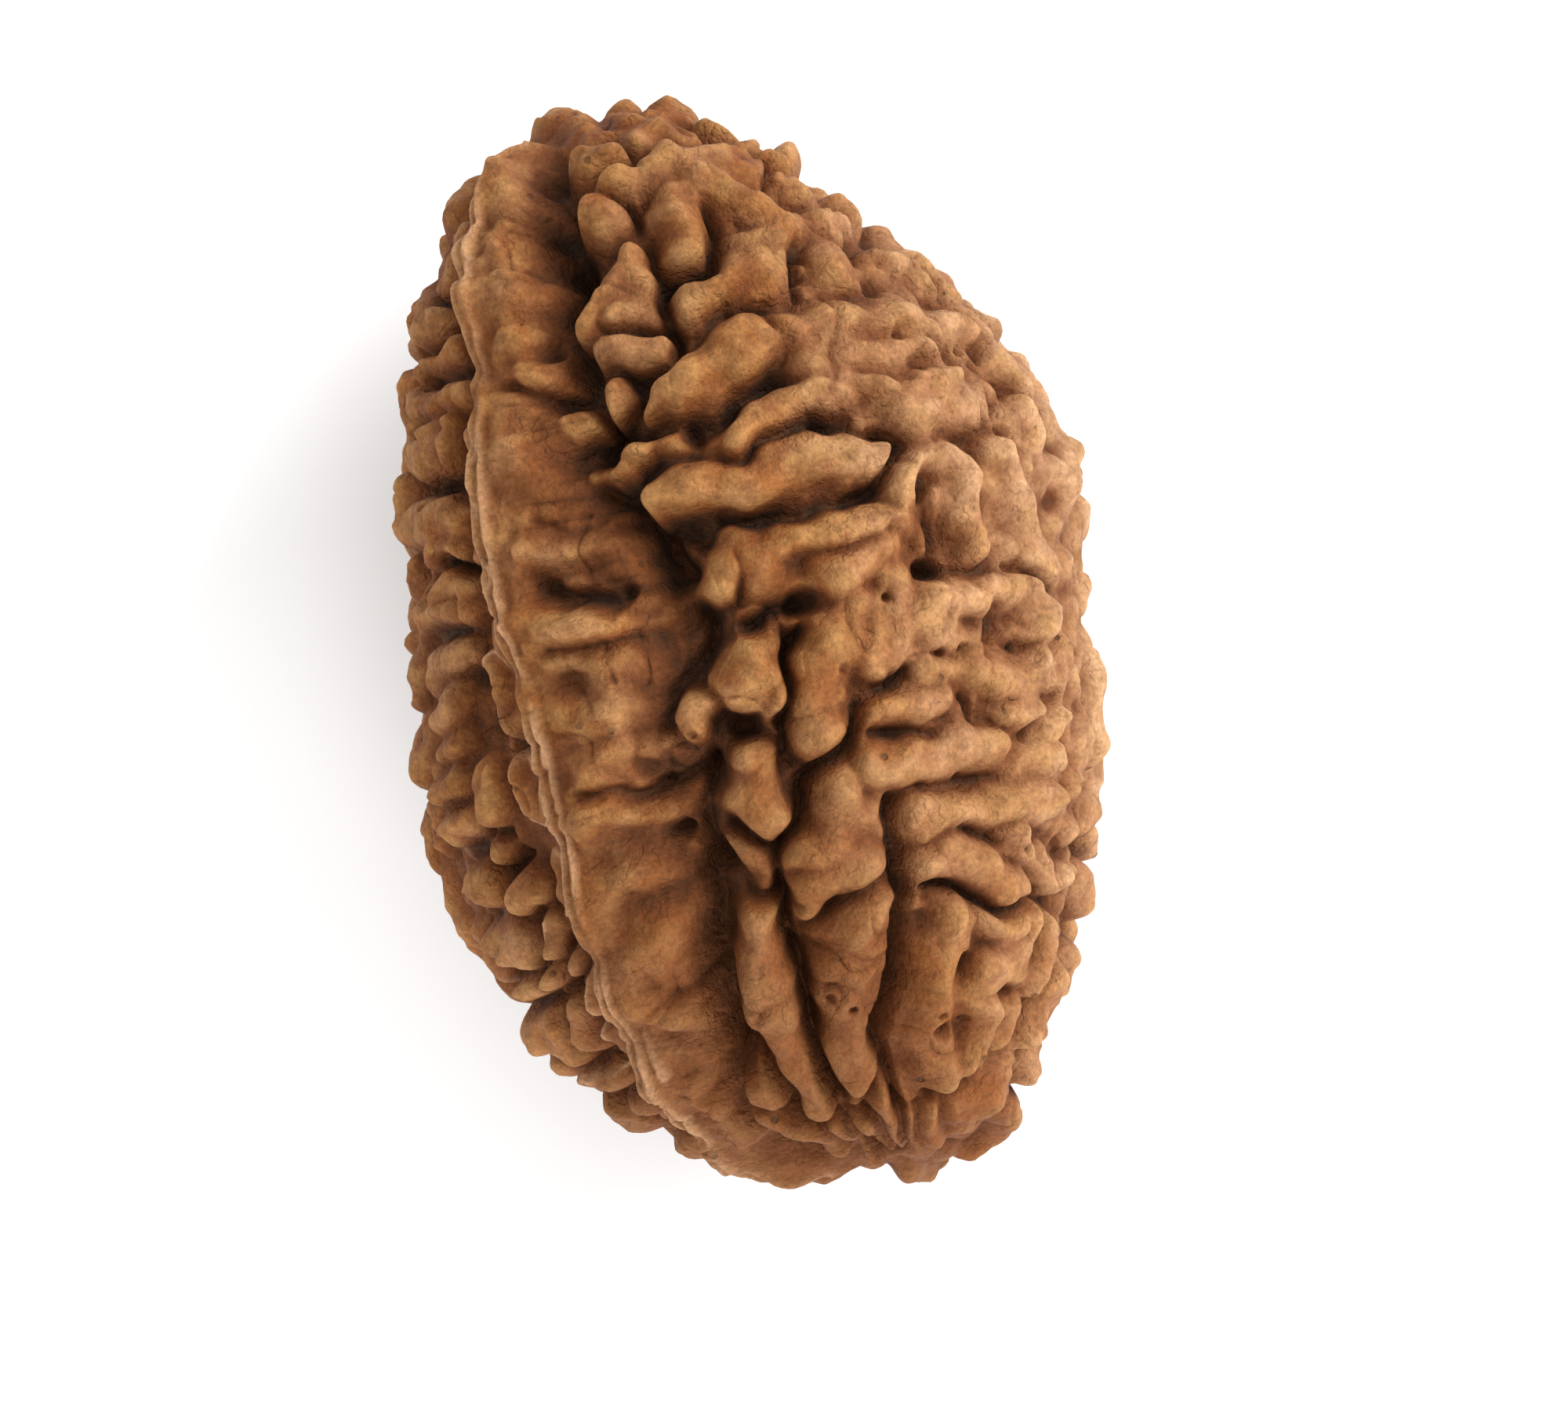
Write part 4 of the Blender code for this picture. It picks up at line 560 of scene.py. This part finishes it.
def relief(directions, points):
    """The height of the surface above the envelope at each point, which is below zero in the valleys."""
    outward = outward_from(directions)
    drift = np.zeros_like(points)
    for size, reach in WANDER:
        drift += reach * np.stack([noise(points, size, SEED + k) for k in (2, 3, 4)], axis=1)
    moved = points + drift - outward * (drift * outward).sum(1)[:, None]
    start, end = POLE_FADE
    keel = np.clip((end - np.abs(directions[:, 1])) / (end - start), 0, 1)
    degrees, levels = np.array(GROUND).T
    ground = np.interp(from_seam(directions, points, False), degrees, levels)
    away = from_seam(directions, points, True)
    beside = (away > FAR_GROUND[0]) & (away < FAR_GROUND[1])
    ground = np.where(beside, np.interp(away, degrees, levels), ground)
    ground = ground * keel + POLE_GROUND * (1 - keel)
    ribs, slits = far_ribs()
    for height, half_width, path in [(h, w, placed(path)) for h, w, path in FOLDS] + ribs:
        nearby = near(moved, path, 2 * half_width)
        distance, _ = along_path(moved[nearby], path)
        ground[nearby] += height * np.exp(-((distance / half_width) ** 2))
    size, reach = BILLOW
    ground += reach * (np.abs(noise(moved, size, SEED + 5)) - 0.25)
    mixed = np.exp(ground / MELT)
    first = np.full(len(points), 9.0)
    second = np.full(len(points), 9.0)
    owner = np.full(len(points), -1)
    same = np.zeros(len(points), bool)
    for number, (crest, branches) in enumerate(all_ridges()):
        for path, widths in branches:
            nearby = near(moved, path, max(widths) + 0.9)
            distance, place = along_path(moved[nearby], path)
            half_width = np.interp(place, np.arange(len(widths)), widths) + WIDER
            mixed[nearby] += np.exp(ridge_height(distance, half_width, crest) / MELT)
            past = distance - half_width
            closest = past < first[nearby]
            next_one = (past < second[nearby]) & ~closest
            same[nearby] = np.where(closest | next_one, owner[nearby] == number, same[nearby])
            second[nearby] = np.where(closest, first[nearby], np.where(next_one, past, second[nearby]))
            first[nearby] = np.where(closest, past, first[nearby])
            owner[nearby] = np.where(closest, number, owner[nearby])
    surface = MELT * np.log(mixed) - clefts(first, second, same, points)
    for depth, half_width, path in [(d, w, placed(path)) for d, w, path in CREASES] + slits:
        nearby = near(moved, path, half_width)
        distance, _ = along_path(moved[nearby], path)
        surface[nearby] -= depth * np.clip(1 - distance / half_width, 0, 1) ** 1.3
    for depth, radius, x, y in PITS:
        path = placed(((x, y),))
        nearby = near(moved, path, radius)
        distance = np.linalg.norm(moved[nearby] - path[0], axis=1)
        surface[nearby] -= depth * (1 - np.clip(distance / radius, 0, 1) ** 2)
    for far in (False, True):
        path = seam_path(far)
        distance, _ = along_path(points, path)
        lips = np.exp(-(((distance - SEAM_LIP_GAP) / SEAM_LIP_WIDTH) ** 2))
        surface += SEAM_LIP_HEIGHT * lips * keel
    for size, reach in UNEVEN:
        surface += reach * noise(points, size, SEED + 6)
    return surface


# The finer piece: how finely its sphere is divided, its faces, and how much closer its points lie on top
LEVEL = 9
FACES = 195000
VIEW_DENSITY = 1.25
# The part's box was brought over the origin by this much
SHIFT = (-0.022, -0.0657)
# Rounds of easing for the relief, and for the levels that the hollows are measured against
STEPS = 4
RELIEF_ROUNDS = 2 * STEPS
HOLLOW_ROUNDS = 14 * STEPS
WIDE_ROUNDS = 60 * STEPS

# Lumps and furrows too fine for the solid: (size, height), and (size, depth, sharpness)
LUMPS = ((1.1, 0.16), (0.55, 0.10), (0.27, 0.045))
FURROWS = ((1.9, 0.22, 10), (1.0, 0.16, 9))

# Low folds across the broad flank of the seam: (size, depth, sharpness), and how the noise is stretched
FLANK_FOLDS = ((1.5, 0.30, 5), (0.75, 0.16, 5))
FLANK_STRETCH = (0.3, 1.0, 0.3)
# Where the folds fade in and out: across the bead, above its middle, and away from the seam
FLANK_ACROSS = (-7.4, -6.4, -3.6, -2.2)
FLANK_RISE = 1.5
FLANK_FROM_SEAM = (0.6, 1.3)

# Small pits: (x, y)
FINE_PITS = ((6.9, -8.0), (7.55, -8.3), (7.5, -9.25), (7.9, -9.6), (8.1, -2.0), (5.6, -1.6), (6.2, -1.6),
             (2.5, -1.4), (4.3, 0.35), (7.55, 7.4), (7.0, 6.9), (8.4, 7.2), (9.0, 6.9), (0.45, -11.6),
             (-0.1, -11.1), (-0.4, -8.2), (3.0, -12.2), (3.85, -12.7), (-2.45, -2.3), (-8.9, 6.3))
FINE_PIT_DEPTH = 0.3
FINE_PIT_RADIUS = 0.2

# Pale skin on the lips of a seam, on the rims of the scalloped plates and on fine lines
PALE_RISE = 0.12
PALE_SWAY = 0.07
LIP_WIDTH = 0.10
RIM_WIDTH = 0.075
LINE_WIDTH = 0.07

# Thin pale lines on the steep side of the seam: ((x, y), ...)
FINE_LINES = (
    ((-8.1, -11.7), (-7.0, -11.8), (-6.0, -12.0)),
    ((-6.5, -11.9), (-5.4, -13.6), (-4.9, -14.6)),
    ((-5.9, -10.6), (-5.4, -12.0)),
    ((-8.2, -6.8), (-8.5, -7.7)),
)


def wrinkles(points):
    """Bumps and creases too fine for the solid."""
    total = np.zeros(len(points))
    for number, (size, reach) in enumerate(LUMPS):
        total += reach * noise(points, size, SEED + 31 + number)
    for number, (size, depth, sharp) in enumerate(FURROWS):
        lines = 1 - np.abs(noise(points, size, SEED + 41 + number))
        where = np.clip(0.3 + 1.5 * noise(points, 2.7 * size, SEED + 51 + number), 0, 1)
        total -= depth * lines**sharp * where
    flank = np.interp(points[:, 0], FLANK_ACROSS, (0.0, 1.0, 1.0, 0.0))
    flank *= np.clip(points[:, 2] / FLANK_RISE, 0, 1)
    nearby = flank > 0
    distance, _ = along_path(points[nearby], seam_path(False))
    flank[nearby] *= np.interp(distance, FLANK_FROM_SEAM, (0.0, 1.0))
    for number, (size, depth, sharp) in enumerate(FLANK_FOLDS):
        lines = 1 - np.abs(noise(points * FLANK_STRETCH, size, SEED + 61 + number))
        total -= depth * flank * lines**sharp
    for centre in placed(FINE_PITS):
        share = np.linalg.norm(points - centre, axis=1) / FINE_PIT_RADIUS
        total -= FINE_PIT_DEPTH * np.clip(1 - share**2, 0, 1)
    return total


def pale_lines(points):
    """How near each point is, from 0 to 1, to a seam's lips, a scalloped plate's rim or a fine line."""
    pale = np.zeros(len(points))
    sway = PALE_SWAY * noise(points, 0.8, SEED + 35)
    for far in (False, True):
        distance, _ = along_path(points, seam_path(far))
        pale = np.maximum(pale, np.exp(-(((distance - SEAM_LIP_GAP + sway) / LIP_WIDTH) ** 2)))
    for _, *branches in SCALLOPS:
        for branch in branches:
            path = placed(branch)
            widths = [p[2] + WIDER for p in branch]
            nearby = near(points, path, 1.2)
            distance, place = along_path(points[nearby], path)
            past = distance - np.interp(place, np.arange(len(widths)), widths) + sway[nearby]
            pale[nearby] = np.maximum(pale[nearby], np.exp(-((past / RIM_WIDTH) ** 2)))
    for line in FINE_LINES:
        path = placed(line)
        nearby = near(points, path, 0.4)
        distance, _ = along_path(points[nearby], path)
        pale[nearby] = np.maximum(pale[nearby], np.exp(-(((distance + sway[nearby]) / LINE_WIDTH) ** 2)))
    return pale * np.clip(0.65 + noise(points, 1.3, SEED + 36), 0, 1)


def fine_bead():
    """The bead's surface with many points, and its height and hollows kept for its colours."""
    shape = bmesh.new()
    bmesh.ops.create_icosphere(shape, subdivisions=LEVEL, radius=1.0)
    mesh = bpy.data.meshes.new("bead_surface")
    shape.to_mesh(mesh)
    shape.free()
    directions = np.empty(len(mesh.vertices) * 3)
    mesh.vertices.foreach_get("co", directions)
    directions = directions.reshape(-1, 3)
    directions /= np.linalg.norm(directions, axis=1)[:, None]
    # a stretch through the lower pole packs more of the points on the upper side
    spread = directions[:, :2] / np.maximum(1 + directions[:, 2:], 1e-9)
    spread[directions[:, 2] < -0.9999] = 1e4
    spread /= VIEW_DENSITY
    length = (spread**2).sum(1)
    directions = np.column_stack((2 * spread, 1 - length)) / (1 + length)[:, None]
    points = on_envelope(directions)
    edges = np.empty(len(mesh.edges) * 2, dtype=int)
    mesh.edges.foreach_get("vertices", edges)
    edges = edges.reshape(-1, 2)
    neighbours = np.bincount(edges.ravel(), minlength=len(points))

    def eased(values, rounds):
        for _ in range(rounds):
            total = np.bincount(edges[:, 0], values[edges[:, 1]], len(values))
            total += np.bincount(edges[:, 1], values[edges[:, 0]], len(values))
            values = 0.5 * values + 0.5 * total / neighbours
        return values

    pale = pale_lines(points)
    height = eased(relief(directions, points), RELIEF_ROUNDS) + wrinkles(points) + PALE_RISE * pale
    carved = points + outward_from(directions) * height[:, None]
    carved[:, 2] += AXIS_HEIGHT
    carved[:, 2] = np.maximum(carved[:, 2], 0.0)
    carved[:, :2] += SHIFT
    mesh.vertices.foreach_set("co", (carved * MM).ravel())
    for name, values in (("level", eased(height, 2)), ("hollow", height - eased(height, HOLLOW_ROUNDS)),
                         ("wide_hollow", height - eased(height, WIDE_ROUNDS)), ("pale", pale)):
        layer = mesh.attributes.new(name, "FLOAT", "POINT")
        layer.data.foreach_set("value", values.astype(np.float32))
    mesh.update()
    bead = bpy.data.objects.new("bead_surface", mesh)
    bpy.context.scene.collection.objects.link(bead)
    if len(mesh.polygons) > FACES:
        thin = bead.modifiers.new("thin", "DECIMATE")
        thin.ratio = FACES / len(mesh.polygons)
        graph = bpy.context.evaluated_depsgraph_get()
        done = bpy.data.meshes.new_from_object(bead.evaluated_get(graph))
        bead.modifiers.clear()
        bead.data = done
    bead.data.shade_smooth()
    return bead


class Nodes:
    """Short calls for building one material's nodes."""

    def __init__(self, name):
        self.material = bpy.data.materials.new(name)
        self.material.use_nodes = True
        self.tree = self.material.node_tree
        self.shader = self.tree.nodes["Principled BSDF"]

    def link(self, a, b):
        self.tree.links.new(a, b)

    def add(self, kind, **values):
        node = self.tree.nodes.new(kind)
        for name, value in values.items():
            setattr(node, name, value)
        return node

    def attribute(self, name):
        return self.add("ShaderNodeAttribute", attribute_name=name).outputs["Fac"]

    def noise(self, where, size, detail=3.0, rough=0.5):
        """Noise from about 0 to 1, with bumps of about this size in millimetres."""
        node = self.add("ShaderNodeTexNoise")
        node.inputs["Scale"].default_value = 1.0 / (size * MM)
        node.inputs["Detail"].default_value = detail
        node.inputs["Roughness"].default_value = rough
        self.link(where, node.inputs["Vector"])
        return node.outputs["Fac"]

    def ramp(self, value, stops):
        node = self.add("ShaderNodeValToRGB")
        elements = node.color_ramp.elements
        while len(elements) < len(stops):
            elements.new(0.5)
        for element, (place, colour) in zip(elements, stops):
            element.position = place
            element.color = (*colour, 1.0)
        self.link(value, node.inputs["Fac"])
        return node.outputs["Color"]

    def spread(self, value, low, high, out_low=0.0, out_high=1.0):
        node = self.add("ShaderNodeMapRange")
        node.inputs["From Min"].default_value = low
        node.inputs["From Max"].default_value = high
        node.inputs["To Min"].default_value = out_low
        node.inputs["To Max"].default_value = out_high
        self.link(value, node.inputs["Value"])
        return node.outputs["Result"]

    def math(self, operation, a, b):
        node = self.add("ShaderNodeMath", operation=operation)
        for socket, value in zip(node.inputs, (a, b)):
            if isinstance(value, (int, float)):
                socket.default_value = value
            else:
                self.link(value, socket)
        return node.outputs["Value"]

    def mix(self, share, a, b, blend="MIX"):
        node = self.add("ShaderNodeMix", data_type="RGBA", blend_type=blend)
        for name, value in (("Factor", share), ("A", a), ("B", b)):
            socket = next(s for s in node.inputs if s.name == name and s.enabled)
            if isinstance(value, (int, float)):
                socket.default_value = value
            elif isinstance(value, tuple):
                socket.default_value = (*value, 1.0)
            else:
                self.link(value, socket)
        return next(s for s in node.outputs if s.enabled)


# The stone's base colour by depth, from the floor of a cleft to a crest, with painted shade that darkens
# the clefts and a painted highlight on the crests, and the colours laid over it
DEPTH_COLOURS_PAINTED_SHADE_AND_HIGHLIGHT = (
    (0.0, (0.034, 0.015, 0.007)),
    (0.22, (0.070, 0.025, 0.009)),
    (0.42, (0.120, 0.036, 0.010)),
    (0.62, (0.178, 0.054, 0.013)),
    (0.82, (0.250, 0.090, 0.022)),
    (1.0, (0.345, 0.155, 0.048)),
)
# painted light on the side of the bead towards the key lamp
RIGHT_SIDE_PAINTED_LIGHT_COLOUR = (0.490, 0.285, 0.150)
TINT_COLOUR = (0.350, 0.178, 0.058)
DULL_COLOUR = (0.130, 0.040, 0.010)
PALE_COLOUR = (0.450, 0.250, 0.130)
SPECK_COLOUR = (0.050, 0.022, 0.010)
BUMP_DISTANCE = 0.13 * MM


def stone_colour(n, where, across, speck):
    """Tan on the crests, red-brown on the slopes and nearly black in the clefts: the black is painted
    shade, the palest tan partly a painted highlight, and the +X side is paler as painted light.
    """
    depth = n.math("ADD", n.math("MULTIPLY", n.attribute("level"), 0.5),
                   n.math("MULTIPLY", n.attribute("wide_hollow"), 0.75))
    depth = n.math("ADD", depth, n.attribute("hollow"))
    depth = n.math("ADD", depth, n.spread(n.noise(where, 0.9), 0.3, 0.7, -0.14, 0.14))
    # painted shade and highlight: the deeper the point, the darker its colour
    colour = n.ramp(n.spread(depth, -1.35, 0.55), DEPTH_COLOURS_PAINTED_SHADE_AND_HIGHLIGHT)
    # painted light: paler towards +X, the side the key lamp shines from, on the higher parts
    right_side_painted_light = n.math("ADD", n.spread(across.outputs["X"], 2.0 * MM, 10.0 * MM, 0.05, 0.75),
                  n.spread(n.noise(where, 3.0, 3.0), 0.35, 0.65, -0.25, 0.25))
    right_side_painted_light = n.math("MULTIPLY", right_side_painted_light, n.spread(depth, -0.6, 0.3))
    colour = n.mix(right_side_painted_light, colour, RIGHT_SIDE_PAINTED_LIGHT_COLOUR)
    # yellower in patches on the crests
    tint = n.math("MULTIPLY", n.spread(n.noise(where, 1.1, 4.0, 0.6), 0.46, 0.62),
                  n.spread(depth, -0.5, 0.2))
    colour = n.mix(n.math("MULTIPLY", tint, 0.6), colour, TINT_COLOUR)
    # duller in patches, and towards the lower left end
    dull = n.math("MULTIPLY", n.spread(n.noise(where, 0.8, 3.0), 0.45, 0.65), 0.5)
    lower = n.math("MULTIPLY", n.spread(across.outputs["Y"], -12.0 * MM, 1.0 * MM, 0.7, 0.0),
                   n.spread(across.outputs["X"], 1.0 * MM, 5.0 * MM, 1.0, 0.1))
    lower = n.math("MULTIPLY", lower, n.spread(across.outputs["X"], -9.0 * MM, -7.5 * MM, 0.2, 1.0))
    colour = n.mix(n.math("MAXIMUM", dull, lower), colour, DULL_COLOUR)
    colour = n.mix(n.math("MULTIPLY", n.attribute("pale"), 0.8), colour, PALE_COLOUR)
    colour = n.mix(n.math("MULTIPLY", speck, 0.6), colour, SPECK_COLOUR)
    grain = n.spread(n.noise(where, 0.16, 5.0, 0.65), 0.3, 0.7, 0.70, 1.25)
    shade = n.add("ShaderNodeCombineColor")
    for socket in shade.inputs:
        n.link(grain, socket)
    return n.mix(1.0, colour, shade.outputs["Color"], "MULTIPLY")


def stone_specks(n, where):
    """Small dark specks, in patches, from 0 to 1."""
    cells = n.add("ShaderNodeTexVoronoi")
    cells.inputs["Scale"].default_value = 1.0 / (1.1 * MM)
    n.link(where, cells.inputs["Vector"])
    return n.math("MULTIPLY", n.spread(cells.outputs["Distance"], 0.08, 0.14, 1.0, 0.0),
                  n.spread(n.noise(where, 2.7, 2.0), 0.52, 0.60))


def stone_bumps(n, where, across, speck):
    """The heights of the grain, of fine lines across the flank of the seam and of fine wrinkles."""
    flat = n.add("ShaderNodeMapping")
    flat.inputs["Scale"].default_value = (0.25, 1.0, 0.25)
    n.link(where, flat.inputs["Vector"])
    flank = n.math("MULTIPLY", n.spread(across.outputs["X"], -7.2 * MM, -6.4 * MM),
                   n.spread(across.outputs["X"], -3.5 * MM, -2.0 * MM, 1.0, 0.0))
    lines = n.math("MULTIPLY", n.noise(flat.outputs["Vector"], 0.35, 3.0), n.math("MULTIPLY", flank, 1.2))
    # fine wrinkles where a noise passes its middle value
    fold = n.math("ABSOLUTE", n.math("SUBTRACT", n.noise(where, 0.7, 3.0), 0.5), 0.0)
    fold = n.math("MULTIPLY", n.spread(fold, 0.0, 0.06, 1.0, 0.0),
                  n.spread(n.noise(where, 1.9, 2.0), 0.4, 0.6))
    heights = n.math("ADD", n.math("MULTIPLY", n.noise(where, 0.42, 4.0), 1.2),
                     n.math("MULTIPLY", n.noise(where, 0.13, 5.0, 0.65), 0.5))
    heights = n.math("ADD", heights, lines)
    heights = n.math("SUBTRACT", heights, n.math("MULTIPLY", fold, 0.35))
    return n.math("SUBTRACT", heights, n.math("MULTIPLY", speck, 0.6))


def stone_material():
    """Dry stone, matt and finely grained."""
    n = Nodes("rudraksha_stone")
    where = n.add("ShaderNodeTexCoord").outputs["Object"]
    across = n.add("ShaderNodeSeparateXYZ")
    n.link(where, across.inputs["Vector"])
    speck = stone_specks(n, where)
    n.link(stone_colour(n, where, across, speck), n.shader.inputs["Base Color"])
    n.shader.inputs["Roughness"].default_value = 0.7
    n.shader.inputs["Specular IOR Level"].default_value = 0.15
    bump = n.add("ShaderNodeBump")
    bump.inputs["Distance"].default_value = BUMP_DISTANCE
    bump.inputs["Strength"].default_value = 1.0
    n.link(stone_bumps(n, where, across, speck), bump.inputs["Height"])
    n.link(bump.outputs["Normal"], n.shader.inputs["Normal"])
    return n.material


def floor():
    """A pale surface under the bead."""
    shape = bmesh.new()
    bmesh.ops.create_grid(shape, x_segments=1, y_segments=1, size=0.6)
    mesh = bpy.data.meshes.new("floor")
    shape.to_mesh(mesh)
    shape.free()
    plane = bpy.data.objects.new("floor", mesh)
    bpy.context.scene.collection.objects.link(plane)
    material = bpy.data.materials.new("pale_floor")
    material.use_nodes = True
    shader = material.node_tree.nodes["Principled BSDF"]
    shader.inputs["Base Color"].default_value = (0.93, 0.93, 0.93, 1.0)
    shader.inputs["Roughness"].default_value = 0.9
    mesh.materials.append(material)


def area_light(name, place, size, watts):
    light = bpy.data.lights.new(name, "AREA")
    light.shape = "DISK"
    light.size = size
    light.energy = watts
    lamp = bpy.data.objects.new(name, light)
    lamp.location = place
    lamp.rotation_euler = (Vector((0, 0, 0.01)) - Vector(place)).to_track_quat("-Z", "Y").to_euler()
    bpy.context.scene.collection.objects.link(lamp)


def lights():
    """Plain soft light, in metres and watts: a broad key from the right, weaker lamps and a pale sky."""
    area_light("key", (0.33, 0.12, 0.22), 0.30, 2.4)
    area_light("fill", (0.0, 0.05, 0.60), 0.40, 0.4)
    area_light("low", (0.05, -0.34, 0.12), 0.30, 1.2)
    area_light("left", (-0.34, -0.05, 0.14), 0.30, 0.35)
    world = bpy.data.worlds.new("sky")
    world.use_nodes = True
    background = world.node_tree.nodes["Background"]
    background.inputs["Color"].default_value = (1.0, 1.0, 1.0, 1.0)
    background.inputs["Strength"].default_value = 0.8
    bpy.context.scene.world = world


# The photograph's size, its scale, and where the bead's middle and long axis lie in it
PHOTO_WIDTH, PHOTO_HEIGHT = 2000, 1797
PIXELS_PER_MM = 42.0
BEAD_PIXEL = (959.0, 821.0)
LEAN = math.radians(13.35)
CAMERA_DISTANCE = 0.45


def camera():
    """A long lens straight above, turned so that the bead leans as it does in the photograph."""
    right = (PHOTO_WIDTH / 2 - BEAD_PIXEL[0]) / PIXELS_PER_MM
    up = -(PHOTO_HEIGHT / 2 - BEAD_PIXEL[1]) / PIXELS_PER_MM
    x = right * math.cos(LEAN) + up * math.sin(LEAN) + SHIFT[0]
    y = -right * math.sin(LEAN) + up * math.cos(LEAN) + SHIFT[1]
    lens = bpy.data.cameras.new("camera")
    lens.sensor_width = 36.0
    lens.lens = 36.0 * CAMERA_DISTANCE / (PHOTO_WIDTH / PIXELS_PER_MM * MM)
    lens.clip_start = 0.01
    seen = bpy.data.objects.new("camera", lens)
    seen.location = (x * MM, y * MM, AXIS_HEIGHT * MM + CAMERA_DISTANCE)
    seen.rotation_euler = (0.0, 0.0, -LEAN)
    bpy.context.scene.collection.objects.link(seen)
    bpy.context.scene.camera = seen


camera()
bead = fine_bead()
bead.data.materials.clear()
bead.data.materials.append(stone_material())
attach(bead, "root")
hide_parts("bead")
floor()
lights()
bpy.context.scene.view_settings.view_transform = "Standard"
